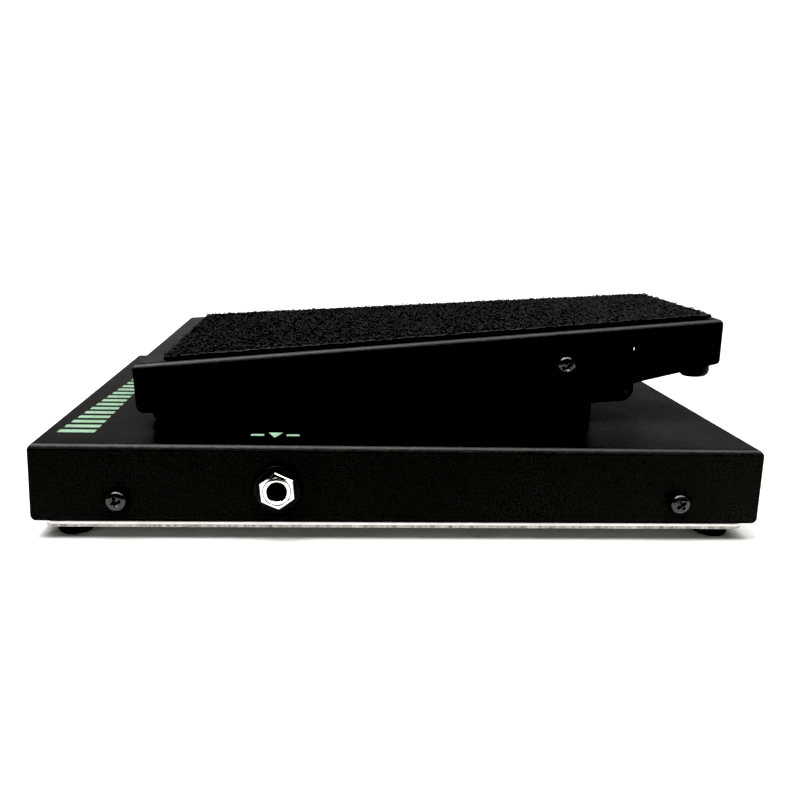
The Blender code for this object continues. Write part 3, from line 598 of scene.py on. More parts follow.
# ------------------------------------------------------------------------------
# screws: pan heads with a cross recess
# ------------------------------------------------------------------------------
def cross_cutter(span, width, depth, top):
    """A tapered cross, its arms narrower and shorter towards the bottom."""
    def ring_at(s, w, z):
        w2, s2 = w / 2, s / 2
        pts = [(s2, -w2), (s2, w2), (w2, w2), (w2, s2), (-w2, s2), (-w2, w2), (-s2, w2), (-s2, -w2), (-w2, -w2), (-w2, -s2), (w2, -s2), (w2, -w2)]
        return [(x, y, z) for x, y in pts]
    return loft([ring_at(span * 0.30, width * 0.42, top - depth), ring_at(span * 0.62, width * 0.78, top - depth * 0.45),
                 ring_at(span, width, top), ring_at(span * 1.05, width * 1.05, top + 1.0)])


def screw_mesh(name, head_d, head_h, shank_d, shank_l, span, width, depth, seat=0.0, turn=0.0, pitch=0.5):
    """Head up along +Z, seat at z = seat."""
    r, s = head_d / 2, shank_d / 2
    prof = [(0, head_h), (r * 0.38, head_h * 0.985), (r * 0.62, head_h * 0.93), (r * 0.80, head_h * 0.80), (r * 0.93, head_h * 0.58),
            (r * 0.985, head_h * 0.34), (r, head_h * 0.18), (r * 0.985, head_h * 0.04), (r * 0.95, 0), (s, 0)]
    z = 0.35
    k = 0
    while z < shank_l - 0.6:
        prof += [(s, -z), (s * 0.84, -z - pitch / 2)]
        z += pitch
        k += 1
    prof += [(s, -z), (s * 0.8, -shank_l), (0, -shank_l)]
    bm = lathe([(a, b + seat) for a, b in prof], "Z", (0, 0, 0), 36)
    me = solid(name, bm, [(cross_cutter(span, width, depth, head_h + seat), "DIFFERENCE")])
    me.transform(Matrix.Rotation(math.radians(turn), 4, "Z"))
    return me


def put_screw(name, me, at, direction, spin, body, mat, node, matrix=None):
    """A copy of a +Z screw with its head along direction."""
    me = me.copy()
    rot = Vector((0, 0, 1)).rotation_difference(Vector(direction)).to_matrix().to_4x4()
    me.transform(Matrix.Translation(at) @ rot @ Matrix.Rotation(math.radians(spin), 4, "Z"))
    if matrix is not None:
        me.transform(matrix)
    return add(name, me, body, mat, node, sharp=38)


cover_me = screw_mesh("cover_screw", 7.0, 2.1, 3.0, 6.5, 3.9, 1.15, 1.5)
pivot_me = screw_mesh("pivot_screw", 7.3, 2.3, 4.0, PIVOT_SEAT - (BR_X - BR_T) + 7.0, 4.3, 1.25, 1.6, pitch=0.7)
foot_me = screw_mesh("foot_screw", 5.8, 1.4, 3.0, 7.2, 3.4, 1.0, 1.1)
SPIN = {("toe", "left"): 12, ("heel", "left"): 38, ("toe", "right"): 24, ("heel", "right"): 51}
for sx, side in ((-1, "left"), (1, "right")):
    for sy, end in ((1, "toe"), (-1, "heel")):
        tag = "%s_%s" % (end, side)
        put_screw("cover_screw_head_" + tag, cover_me, (sx * (HX + GAP), sy * TAB_Y, SIDE_SCREW_Z), (sx, 0, 0), SPIN[end, side],
                  "base", OXIDE, "cover_screw_" + tag)
        put_screw("foot_screw_head_" + tag, foot_me, (sx * 66.0, sy * 112.0, 2.1), (0, 0, -1), SPIN[end, side] * 2,
                  "base", STEEL, "foot_screw_" + tag)
    put_screw("pivot_screw_head_" + side, pivot_me, (sx * PIVOT_SEAT, 0, 0), (sx, 0, 0), 20 if sx < 0 else 57,
              "treadle", OXIDE, "pivot_screw_" + side, TREADLE)

# ------------------------------------------------------------------------------
# feet and bumpers
# ------------------------------------------------------------------------------
for sx, side in ((-1, "left"), (1, "right")):
    for sy, end in ((1, "toe"), (-1, "heel")):
        tag = "%s_%s" % (end, side)
        r, h = 6.35, PLATE_Z0 - GAP
        prof = [(3.3, 0.25), (3.55, 0), (r - 1.15, 0), (r - 0.75, 0.10), (r - 0.45, 0.42), (r - 0.30, 0.85), (r - 0.06, h - 0.45), (r, h - 0.2),
                (r - 0.05, h), (1.8, h), (1.8, 2.4), (3.2, 2.4), (3.3, 2.3)]
        add("foot_" + tag, solid("foot", lathe(prof, "Z", (sx * 66.0, sy * 112.0, 0), 56)), "base", RUBBER, "rubber_foot_" + tag, sharp=40)
    for (xx, yy, r, h), zz, end in ((HEEL_BUMPER, HEEL_DROP, "heel"), (TOE_BUMPER, TOE_DROP, "toe")):
        t = TR_SHEET
        prof = [(0, -h - GAP), (r - 1.75, -h - GAP), (r - 1.15, -h - GAP + 0.15), (r - 0.7, -h - GAP + 0.55), (r - 0.25, -h - GAP + 1.3),
                (r, -h - GAP + 2.2), (r, -GAP - 0.3), (r - 0.15, -GAP), (2.3, -GAP), (2.3, t + GAP), (3.2, t + GAP), (2.9, t + GAP + 0.6),
                (1.9, t + GAP + 2.0), (1.4, t + GAP + 2.2), (0, t + GAP + 2.2)]
        add("bumper_%s_%s" % (end, side), solid("bumper", lathe(prof, "Z", (sx * xx, yy, zz), 44), matrix=TREADLE),
            "treadle", RUBBER, "%s_bumper_%s" % (end, side), sharp=40)

# ------------------------------------------------------------------------------
# treadle: folded tray
# ------------------------------------------------------------------------------
profile = rounded([(TR_TOE, TR_TOP), (TR_HEEL, TR_TOP), (TR_HEEL + HEEL_LEAN, HEEL_DROP), (MID_Y, MID_DROP), (TR_TOE, TOE_DROP)],
                  [0, 0, 1.6, 14.0, 2.6], 10)
tray = prism(profile, "X", -TREADLE_X, TREADLE_X)
bevel(tray, lambda a, b: a.z > TR_TOP - 0.01 and b.z > TR_TOP - 0.01, 2.0, 8)
t = TR_SHEET
inside = prism([(TR_TOE - t, TR_TOP - t), (TR_HEEL + t, TR_TOP - t), (TR_HEEL + HEEL_LEAN + t, HEEL_DROP),
                (TR_HEEL + HEEL_LEAN + t, -40), (TR_TOE - t, -40)], "X", -TREADLE_X + t, TREADLE_X - t)
h = TR_HEEL + HEEL_LEAN
heel_lip = prism([(h + 0.75, HEEL_DROP + 0.9), (h + 1.8, HEEL_DROP), (TR_HEEL + LIP, HEEL_DROP), (TR_HEEL + LIP, HEEL_DROP + t),
                  (h + 0.75, HEEL_DROP + t)], "X", -TREADLE_X + 0.75, TREADLE_X - 0.75)
toe_lip = prism([(TR_TOE - LIP, TOE_DROP), (TR_TOE - 2.7, TOE_DROP), (TR_TOE - 0.75, TOE_DROP + 1.3), (TR_TOE - 0.75, TOE_DROP + t),
                 (TR_TOE - LIP, TOE_DROP + t)], "X", -TREADLE_X + 0.75, TREADLE_X - 0.75)
holes = bmesh.new()
cylinder("X", (0, 0, 0), 2.35, -70, 70, 28, bm=holes)
cylinder("X", (0, JIG_HOLE_Y, JIG_HOLE_Z), 1.4, -70, 70, 24, bm=holes)
for sx in (-1, 1):
    cylinder("Z", (sx * HEEL_BUMPER[0], HEEL_BUMPER[1], HEEL_DROP), 2.6, -3, 5, 24, bm=holes)
    cylinder("Z", (sx * TOE_BUMPER[0], TOE_BUMPER[1], TOE_DROP), 2.6, -3, 5, 24, bm=holes)
for sy in (-1, 1):
    cylinder("Z", (0, VANE_Y + sy * 11.5, TR_TOP), 1.6, -4, 4, 20, bm=holes)
ob = add("treadle_shell", solid("treadle_shell", narrow(tray), [(narrow(inside), "DIFFERENCE"), (narrow(heel_lip), "UNION"),
                                                                (narrow(toe_lip), "UNION"), (holes, "DIFFERENCE")], TREADLE),
         "treadle", [POWDER, FOLD], "treadle")
mark_folds(ob, TR_TOP, TREADLE)

# inner channel, its walls round the pivot
ceil = TR_TOP - t - GAP
chan = rounded([(CH_Y, ceil), (-CH_Y, ceil), (-CH_Y, CH_BOTTOM), (CH_Y, CH_BOTTOM)], [0, 0, 5.0, 5.0], 8)
cb = prism(chan, "X", -CH_X, CH_X)
bevel(cb, lambda a, b: a.z > ceil - 0.01 and b.z > ceil - 0.01 and abs(a.x - b.x) < 0.01, 1.8, 6)
holes = bmesh.new()
cylinder("X", (0, 0, 0), 2.35, -70, 70, 28, bm=holes)
cylinder("X", (0, ROD_Y, ROD_Z), 1.8, -70, 70, 24, bm=holes)
hollow = box(-CH_X + t, CH_X - t, -CH_Y - 10, CH_Y + 10, CH_BOTTOM - 10, ceil - t)
add("treadle_channel_sheet", solid("treadle_channel_sheet", cb, [(hollow, "DIFFERENCE"), (holes, "DIFFERENCE")], TREADLE),
    "treadle", POWDER, "treadle_channel")

rod_end = CH_X + GAP
prof = [(0, 0)]
dome = [(1.5, 0.0), (1.95, 0.0), (1.95, 0.30), (1.85, 0.55), (1.62, 0.78), (1.25, 0.96), (0.75, 1.07), (0, 1.1)]
prof = [(r, -rod_end - h) for r, h in reversed(dome)] + [(r, rod_end + h) for r, h in dome]
add("tie_rod", solid("tie_rod", lathe(prof, "X", (0, ROD_Y, ROD_Z), 28), matrix=TREADLE), "treadle", ROD,
    "channel_tie_rod", sharp=50)

# pivot bracket on the base
zb = BASE_TOP + GAP
boss = arc(PIVOT_Y, PIVOT_Z, BR_BOSS_R, 158.0, 22.0, 24)
outline = [(PIVOT_Y + BR_HALF, zb), (PIVOT_Y + BR_HALF, zb + 5.0)] + boss[::-1] + \
          [(PIVOT_Y - BR_HALF, zb + 5.0), (PIVOT_Y - BR_HALF, zb)]
br = prism(outline, "X", -BR_X, BR_X)
bevel(br, lambda a, b: a.z < zb + 0.01 and b.z < zb + 0.01 and abs(a.x - b.x) < 0.01, 1.4, 6)
holes = bmesh.new()
cylinder("X", (0, PIVOT_Y, PIVOT_Z), 2.35, -60, 60, 28, bm=holes)
for x, y in BR_SCREWS:
    cylinder("Z", (x, y, zb), 1.8, -4, 4, 20, bm=holes)
hollow = box(-BR_X + BR_T, BR_X - BR_T, PIVOT_Y - 30, PIVOT_Y + 30, zb + BR_T, PIVOT_Z + 20)
add("pivot_bracket_sheet", solid("pivot_bracket_sheet", br, [(hollow, "DIFFERENCE"), (holes, "DIFFERENCE")]),
    "base", POWDER, "pivot_bracket")


# ------------------------------------------------------------------------------
# grip pad: a matted backing under curled yarn; the backing is coloured much darker than the yarn, painted shade in the
# gaps between the curls
# ------------------------------------------------------------------------------
def pad_meshes():
    rng = np.random.default_rng(41)
    z0 = TR_TOP + GAP
    step = 0.52
    nx = int(round(2 * (PAD_X - 0.25) / step))
    ny = int(round((PAD_Y1 - PAD_Y0 - 0.5) / step))
    xs = np.linspace(-PAD_X + 0.25, PAD_X - 0.25, nx + 1)
    ys = np.linspace(PAD_Y0 + 0.25, PAD_Y1 - 0.25, ny + 1)
    X, Y = np.meshgrid(xs, ys, indexing="ij")
    H = np.zeros_like(X)
    flat = H.ravel()
    px, py = X.ravel(), Y.ravel()
    for i in range(len(flat)):
        x, y = px[i], py[i]
        a = noise.noise(Vector((x * 0.95, y * 0.95, 3.1)))
        b = noise.noise(Vector((x * 0.80 + 40, y * 0.80, 9.7)))
        c = noise.noise(Vector((x * 0.18, y * 0.18, 1.3)))
        worm = max(math.exp(-(a / 0.11) ** 2), 0.85 * math.exp(-(b / 0.12) ** 2))
        flat[i] = 0.50 + 0.62 * worm + 0.16 * c + 0.12 * noise.noise(Vector((x * 2.3, y * 2.3, 5.0)))
    H = flat.reshape(X.shape)
    jit = rng.uniform(-0.14, 0.14, (2, *X.shape))
    edge = np.minimum(np.minimum(X - xs[0], xs[-1] - X), np.minimum(Y - ys[0], ys[-1] - Y))
    soft = np.clip(edge / 0.9, 0, 1)
    H = 0.78 * np.clip(H, 0.25, 1.45) * (0.55 + 0.45 * soft)
    inner = (edge > 0.3).astype(float)
    Xj = X + jit[0] * inner
    Yj = Y + jit[1] * inner
    # a ragged outline
    for k, (row, sgn) in enumerate(((0, 1), (-1, -1))):
        Xj[row, :] += sgn * rng.uniform(0.0, 0.5, Xj.shape[1])
    for k, (col, sgn) in enumerate(((0, 1), (-1, -1))):
        Yj[:, col] += sgn * rng.uniform(0.0, 0.5, Yj.shape[0])
    Xj = Xj * (half_width(Yj) - 3.9) / PAD_X
    top = np.stack([Xj, Yj, z0 + 0.62 + 1.15 * H], -1).reshape(-1, 3)
    # border vertices in order, for the sides and the flat underside
    w = ny + 1
    idx = np.arange((nx + 1) * (ny + 1)).reshape(nx + 1, ny + 1)
    loop = list(idx[:, 0]) + list(idx[-1, 1:]) + list(idx[-2::-1, -1]) + list(idx[0, -2:0:-1])
    low = top[loop].copy()
    low[:, 2] = z0
    verts = np.concatenate([top, low])
    n = len(loop)
    q = np.stack([idx[:-1, :-1], idx[1:, :-1], idx[1:, 1:], idx[:-1, 1:]], -1).reshape(-1, 4)
    k = np.arange(n)
    side = np.stack([np.array(loop)[(k + 1) % n], np.array(loop)[k], len(top) + k, len(top) + (k + 1) % n], -1)
    me = bpy.data.meshes.new("grip_pad_backing")
    faces = q.tolist() + side.tolist() + [list(range(len(verts) - 1, len(top) - 1, -1))]
    me.from_pydata(verts.tolist(), [], faces)
    me.update()
    # curled yarn: short three-sided tubes on arcs and loose curls
    verts, faces = [], []
    zt = TR_TOP + GAP + PAD_T - 0.03
    count = 5200
    cell = math.sqrt((2 * PAD_X - 1.0) * (PAD_Y1 - PAD_Y0 - 1.0) / count)
    gx = int((2 * PAD_X - 1.0) / cell)
    gy = int((PAD_Y1 - PAD_Y0 - 1.0) / cell)
    segs = 6
    for i in range(gx):
        for j in range(gy):
            cx = -PAD_X + 0.7 + (i + rng.uniform(0.0, 1.0)) * (2 * PAD_X - 1.4) / gx
            cy = PAD_Y0 + 0.7 + (j + rng.uniform(0.0, 1.0)) * (PAD_Y1 - PAD_Y0 - 1.4) / gy
            r = rng.uniform(0.42, 0.85)
            rad = rng.uniform(0.13, 0.19)
            yaw = rng.uniform(0, 2 * math.pi)
            lean = rng.uniform(-0.9, 0.9)
            sweep = rng.uniform(2.4, 4.4)
            start = rng.uniform(-0.5, 0.6)
            height = z0 + rng.uniform(1.1, 1.65)
            drift = rng.uniform(-0.5, 0.5)
            share = (half_width(cy) - 3.9) / PAD_X
            keep = rng.uniform() < share
            if not keep:
                continue
            cx *= share
            pts = []
            for s in range(segs + 1):
                a = start + sweep * s / segs
                lx = r * math.cos(a) + drift * (s / segs - 0.5)
                lz = r * math.sin(a) * math.cos(lean)
                ly = r * math.sin(a) * math.sin(lean) + 0.35 * drift * math.sin(3 * a)
                x = cx + lx * math.cos(yaw) - ly * math.sin(yaw)
                y = cy + lx * math.sin(yaw) + ly * math.cos(yaw)
                z = height + lz
                wide = half_width(y) - 3.9 - rad
                pts.append((min(max(x, -wide), wide), min(max(y, PAD_Y0 + rad), PAD_Y1 - rad),
                            min(max(z, z0 + 0.2), zt - rad)))
            base = len(verts)
            for s, p in enumerate(pts):
                p = Vector(p)
                d = (Vector(pts[min(s + 1, segs)]) - Vector(pts[max(s - 1, 0)]))
                d = d.normalized() if d.length > 1e-6 else Vector((1, 0, 0))
                u = d.cross(Vector((0, 0, 1)))
                u = u.normalized() if u.length > 1e-3 else Vector((1, 0, 0))
                v = d.cross(u)
                taper = rad * (0.55 if s in (0, segs) else 1.0)
                for m in range(3):
                    a = 2 * math.pi * m / 3 + 0.5
                    verts.append(tuple(p + (u * math.cos(a) + v * math.sin(a)) * taper))
            for s in range(segs):
                for m in range(3):
                    a, b = base + 3 * s + m, base + 3 * s + (m + 1) % 3
                    faces.append((a, b, b + 3, a + 3))
            faces.append((base + 2, base + 1, base))
            e = base + 3 * segs
            faces.append((e, e + 1, e + 2))
    me2 = bpy.data.meshes.new("grip_pad_yarn")
    me2.from_pydata(verts, [], faces)
    me2.update()
    return me, me2


backing, yarn = pad_meshes()
for me in (backing, yarn):
    me.transform(TREADLE)
pad = add("grip_pad_backing", backing, "treadle", BACKING_GAP_SHADE, "grip_pad", sharp=180, weighted=False)
yarn_ob = add("grip_pad_yarn", yarn, "treadle", FIBRE, "grip_pad", sharp=180, weighted=False)
bm = bmesh.new()
for o in (pad, yarn_ob):
    bm.from_mesh(o.data)
    bmesh.ops.recalc_face_normals(bm, faces=bm.faces)
    bm.to_mesh(o.data)
    bm.clear()
    o.data.shade_smooth()
bm.free()

# ------------------------------------------------------------------------------
# jacks
# ------------------------------------------------------------------------------
for sx, which in ((-1, "output"), (1, "input")):
    flip = sx < 0
    c = (0, JACK_Y, JACK_Z)
    # threaded bushing with a rounded lip
    prof = [(3.35, 60.0)]
    prof += [(3.35, JACK_OUT - 0.35), (3.45, JACK_OUT - 0.10), (3.62, JACK_OUT), (3.90, JACK_OUT - 0.045), (4.20, JACK_OUT - 0.10), (4.45, JACK_OUT - 0.16), (4.52, JACK_OUT - 0.35)]
    z = JACK_OUT - 0.5
    while z > 74.6:
        prof += [(4.60, z), (4.30, z - 0.28)]
        z -= 0.56
    prof += [(4.6, 74.5), (4.6, 73.0), (4.6, 60.0)]
    add(which + "_jack_bushing", solid("bushing", lathe(prof, "X", c, 48, flip=flip)), "base", CHROME, sharp=40)
    wall_in = HX - SHEET
    x0, x1 = sorted((sx * 50.0, sx * (wall_in - GAP)))
    shell = box(x0, x1, JACK_Y - 10, JACK_Y + 10, JACK_Z - 9.0, JACK_Z + 9.0)
    bevel(shell, lambda a, b: abs(a.x - b.x) > 5, 1.2, 5)
    bore = cylinder("X", c, 4.62, *sorted((sx * 60.0, sx * 90.0)), 32)
    deep = cylinder("X", c, 3.35, *sorted((sx * 53.0, sx * 61.0)), 32)
    ribs = bmesh.new()
    for k in range(3):
        a, b = sorted((sx * (55.0 + 5 * k), sx * (56.2 + 5 * k)))
        box(a, b, JACK_Y - 12, JACK_Y + 12, JACK_Z + 8.5, JACK_Z + 12, ribs)
    add(which + "_jack_shell", solid("jack", shell, [(bore, "DIFFERENCE"), (deep, "DIFFERENCE"), (ribs, "DIFFERENCE")]), "base", PLASTIC,
        which + "_jack_body")
    # washer with a rolled edge
    w0, w1 = HX + GAP, HX + GAP + 0.6
    prof = [(4.95, w0), (7.8, w0), (8.0, w0 + 0.12), (7.98, w0 + 0.30), (7.80, w0 + 0.47), (7.45, w0 + 0.57), (7.1, w1), (4.95, w1)]
    add(which + "_jack_washer_ring", solid("washer", lathe(prof, "X", c, 64, flip=flip)), "base", GLOSS_BLACK,
        which + "_jack_washer", sharp=50)
    # hexagon nut with a crowned face and a small chamfer round its six flats
    n0, n1 = HX + 2 * GAP + 0.6, JACK_OUT - 0.1
    R, crown, hole = 5.6, 24.0, 4.72
    turn = math.radians(90 + sx * 6)
    count = 144

    def nut_ring(f, h, inset=0.0):
        out = []
        for k in range(count):
            a = turn + 2 * math.pi * k / count
            off = (a - turn) % (math.pi / 3) - math.pi / 6
            edge = (R - inset) / math.cos(off)
            r = hole + (edge - hole) * f
            z = h if h is not None else n1 - (crown - math.sqrt(crown * crown - r * r)) + 0.35
            z = min(z, n1)
            out.append(place("X", JACK_Y + r * math.cos(a), JACK_Z + r * math.sin(a), sx * z))
        return out

    def lowered(ring_pts, d):
        return [Vector((p.x - sx * d, p.y, p.z)) for p in ring_pts]

    face = [nut_ring(f, None, 0.22) for f in (0.0, 0.15, 0.3, 0.45, 0.6, 0.75, 0.9, 1.0)]
    edge = lowered(nut_ring(1.0, None), 0.22)
    nut = loft([nut_ring(0.0, n0)] + [lowered(face[0], 0.12)] + face[1:] + [edge, nut_ring(1.0, n0 + 0.12), nut_ring(1.0, n0, 0.12)], caps=False)
    nut.verts.ensure_lookup_table()
    rings_n = len(nut.verts) // count
    for k in range(count):
        k2 = (k + 1) % count
        last = (rings_n - 1) * count
        nut.faces.new([nut.verts[last + k], nut.verts[last + k2], nut.verts[k2], nut.verts[k]])
    add(which + "_jack_hex_nut", solid("nut", nut), "base", CHROME, which + "_jack_nut", sharp=20, weighted=False)

# power socket
c = (0, DC_Y, JACK_Z)
prof = [(0, 66.0), (2.9, 66.0), (2.9, HX + 1.6), (3.1, HX + 1.9), (5.9, HX + 1.9), (6.5, HX + 1.75), (6.9, HX + 1.4), (7.0, HX + 0.9), (7.0, HX + GAP),
        (5.75, HX + GAP), (5.75, 58.0), (0, 58.0)]
add("power_socket_barrel", solid("dc", lathe(prof, "X", c, 48)), "base", PLASTIC, "power_socket", sharp=40)
prof = [(0, 66.2), (1.05, 66.2), (1.05, 74.6), (0.85, 75.0), (0, 75.1)]
add("power_socket_pin", solid("dcpin", lathe(prof, "X", c, 24)), "base", STEEL, sharp=40)

# ------------------------------------------------------------------------------
# prints on the base top: plain bars and arrows
# ------------------------------------------------------------------------------
INK_Z0, INK_Z1 = BASE_TOP - 0.02, BASE_TOP + 0.035


def ink(name, outlines):
    bm = bmesh.new()
    for o in outlines:
        prism(o, "Z", INK_Z0, INK_Z1, bm)
    return add(name, solid(name, bm), "base", INK, sharp=30, weighted=False)


# volume wedge: bars across the toe end that grow towards the left-hand side
bars = []
nbar = 21
for k in range(nbar):
    x = -61.0 + k * (122.0 / (nbar - 1))
    w = 3.4
    y0 = 105.9
    y1 = y0 + 3.2 + 9.4 * (nbar - k) / nbar
    bars.append(rounded([(x - w / 2, y0), (x + w / 2, y0), (x + w / 2, y1), (x - w / 2, y1)], [0.4] * 4, 3))
ink("toe_volume_bars", bars)
for sx, which in ((-1, "output"), (1, "input")):
    y = JACK_Y + 1.6
    x_in, x_out = 60.6, 66.6
    tip, tail = (x_out, x_in) if sx < 0 else (x_in, x_out)
    marks = [[(sx * tip, y), (sx * tail, y + 2.5), (sx * tail, y - 2.5)]]
    for dy in (-6.1, 6.1):
        marks.append([(sx * a, b) for a, b in rectangle(62.5, 64.6, y + dy - 2.3, y + dy + 2.3, 0.6, 4)])
    ink(which + "_arrow_print", marks)

# ------------------------------------------------------------------------------
# battery door, battery, board
# ------------------------------------------------------------------------------
panel = prism(rectangle(-DOOR_X, DOOR_X, DOOR_Y0, HINGE_Y - 2.1, 1.5, 6), "Z", HINGE_Z - 1.6, HINGE_Z + 0.4)
bevel(panel, lambda a, b: a.z < HINGE_Z - 1.59 and b.z < HINGE_Z - 1.59, 0.35, 3)
cuts = []
sec = [(HINGE_Y - 4.0, HINGE_Z - 1.45), (HINGE_Y - 0.2, HINGE_Z - 1.45), (HINGE_Y - 0.2, HINGE_Z + 0.25), (HINGE_Y - 4.0, HINGE_Z + 0.25)]
cuts.append((prism(sec, "X", -14.2, 14.2), "UNION"))
cuts.append((cylinder("X", (0, HINGE_Y, HINGE_Z), 1.6, -14.5, 14.5, 24), "UNION"))
cuts.append((box(-7, 7, DOOR_Y0 + 0.2, DOOR_Y0 + 1.5, HINGE_Z, HINGE_Z + 3.6), "UNION"))
cuts.append((cylinder("X", (0, HINGE_Y, HINGE_Z), 1.0, -30, 30, 20), "DIFFERENCE"))
grooves = bmesh.new()
for k in range(5):
    y = DOOR_Y0 + 4.0 + 1.5 * k
    prism(rectangle(-9, 9, y, y + 0.8, 0.35, 3), "Z", HINGE_Z - 3, HINGE_Z - 1.1, grooves)
cuts.append((grooves, "DIFFERENCE"))
frame_cut = bmesh.new()
prism([(-3.2, DOOR_Y0 + 15.6), (3.2, DOOR_Y0 + 15.6), (0.0, DOOR_Y0 + 12.8)], "Z", HINGE_Z - 3, HINGE_Z - 1.25, frame_cut)
cuts.append((frame_cut, "DIFFERENCE"))
add("battery_door_panel", solid("battery_door_panel", panel, cuts), "battery_door", PLASTIC, "battery_door")

BAT_Y = -92.0
bx, zc = 24.25, PLATE_Z1 + 10.55
jacket = prism(rectangle(BAT_Y - 13.1, BAT_Y + 13.1, PLATE_Z1 + 1.9, PLATE_Z1 + 19.2, 2.0, 6), "X", -bx + 12.0, bx - 2.6)
wrap = prism(rectangle(BAT_Y - 13.1, BAT_Y + 13.1, PLATE_Z1 + 1.9, PLATE_Z1 + 19.2, 2.0, 6), "X", -bx + 0.4, -bx + 12.0)
add("battery_can", solid("battery_can", jacket), "base", JACKET, "battery_9v", sharp=30)
add("battery_can_band", solid("battery_can_band", wrap), "base", BAND, sharp=30)
caps = prism(rectangle(BAT_Y - 12.7, BAT_Y + 12.7, PLATE_Z1 + 2.3, PLATE_Z1 + 18.8, 1.8, 6), "X", -bx, bx - 2.3)
studs = [(lathe([(0, bx - 4), (2.9, bx - 4), (2.9, bx - 0.3), (2.6, bx), (2.1, bx), (2.1, bx - 1.4), (0, bx - 1.4)], "X", (0, BAT_Y + 6.4, zc), 32), "UNION"),
         (lathe([(0, bx - 4), (2.9, bx - 4), (2.9, bx - 0.25), (2.7, bx), (0, bx)], "X", (0, BAT_Y - 6.4, zc), 6), "UNION")]
add("battery_core", solid("battery_core", caps, studs), "base", STEEL, sharp=30)
snap = prism(rectangle(BAT_Y - 12.0, BAT_Y + 12.0, zc - 6.0, zc + 6.0, 3.5, 8), "X", bx + GAP, bx + 3.6)
bevel(snap, lambda a, b: a.x > bx + 3.59 and b.x > bx + 3.59, 0.6, 3)
add("battery_snap_cover", solid("battery_snap_cover", snap), "base", PLASTIC, "battery_snap", sharp=40)

PCB1 = 10.9
rng = random.Random(7)
parts_black, parts_metal, parts_tan = bmesh.new(), bmesh.new(), bmesh.new()
for cx, cy, w, l, h in ((-18, 6, 6.4, 9.4, 3.2), (4, 8, 6.4, 9.4, 3.2), (20, -26, 6.4, 9.4, 3.2)):
    b = prism(rectangle(cx - w / 2, cx + w / 2, cy - l / 2, cy + l / 2, 0.3, 2), "Z", PCB1 + 0.6, PCB1 + h, parts_black)
    for k in range(4):
        y = cy - 3.81 + 2.54 * k
        for s in (-1, 1):
            x0, x1 = sorted((cx + s * (w / 2 - 0.1), cx + s * (w / 2 + 0.6)))
            box(x0, x1, y - 0.25, y + 0.25, PCB1 + 0.05, PCB1 + 1.9, parts_metal)
for cx, cy, r, h in ((-30, -6, 2.6, 7.5), (30, 6, 2.6, 7.5), (-26, -30, 3.2, 9.0), (12, -38, 2.6, 7.5), (-8, -38, 2.6, 7.0)):
    prof = [(0, PCB1 + 0.3), (r * 0.92, PCB1 + 0.3), (r, PCB1 + 0.7), (r, PCB1 + h - 0.5), (r * 0.9, PCB1 + h), (r * 0.7, PCB1 + h), (r * 0.66, PCB1 + h - 0.2), (0, PCB1 + h - 0.2)]
    lathe(prof, "Z", (cx, cy, 0), 28, bm=parts_black)
for k in range(12):
    cx = -30 + 6.0 * (k % 6) + (2 if k > 5 else 0)
    cy = 17.5 if k < 6 else -22.5 - (3 if k % 2 else 0)
    prof = [(0, -2.6), (0.9, -2.5), (1.1, -2.0), (0.85, -1.3), (0.85, 1.3), (1.1, 2.0), (0.9, 2.5), (0, 2.6)]
    lathe(prof, "Y", (cx, cy, PCB1 + 1.3), 16, bm=parts_tan)
    for s in (-1, 1):
        cylinder("Y", (cx, cy, PCB1 + 1.3), 0.28, *sorted((s * 2.5, s * 4.0)), 10, bm=parts_metal)
add("board_black_parts", solid("bp", parts_black), "base", PLASTIC, sharp=35)
add("board_leads", solid("bl", parts_metal), "base", STEEL, sharp=35)
add("board_resistors", solid("br", parts_tan), "base", NYLON, sharp=35)

# ------------------------------------------------------------------------------
# CAD nodes that stay: finishes, and softened sheet edges
# ------------------------------------------------------------------------------
KEPT = {
    "pivot_spacer_left": (STEEL, "zinc_plate"), "pivot_spacer_right": (STEEL, "zinc_plate"),
    "pivot_nut_left": (STEEL, "zinc_plate"), "pivot_nut_right": (STEEL, "zinc_plate"),
    "pivot_washer_left": (NYLON, "nylon"), "pivot_washer_right": (NYLON, "nylon"),
    "battery_door_pin": (STEEL, "zinc_plate"),
    "bracket_screw_toe_left": (STEEL, "zinc_plate"), "bracket_screw_toe_right": (STEEL, "zinc_plate"),
    "bracket_screw_heel_left": (STEEL, "zinc_plate"), "bracket_screw_heel_right": (STEEL, "zinc_plate"),
    "shutter_screw_heel": (STEEL, "zinc_plate"), "shutter_screw_toe": (STEEL, "zinc_plate"),
    "shutter_vane": (VANE, "vane_paint"),
    "circuit_board": (BOARD, "circuit_board"),
    "board_standoff_heel_right": (NYLON, "nylon"), "board_standoff_toe_left": (NYLON, "nylon"),
    "lamp_holder": (PLASTIC, "black_plastic"), "photocell_holder": (PLASTIC, "black_plastic"),
    "power_socket_nut": (PLASTIC, "black_plastic"),
    "battery_lead_red": (LEAD_RED, "lead_red"), "battery_lead_black": (LEAD_BLACK, "lead_black"),
}
for name, o in NODES.items():
    if o.hide_render:
        continue
    mat, slot = KEPT[name]
    if not o.material_slots:
        o.data.materials.append(mat)
    for s in o.material_slots:
        s.material = mat
    if name in ("shutter_vane", "lamp_holder", "photocell_holder", "circuit_board"):
        b = o.modifiers.new("soft_edges", "BEVEL")
        b.width, b.segments, b.limit_method, b.angle_limit = 0.00015, 2, "ANGLE", math.radians(50)
        b.harden_normals = False

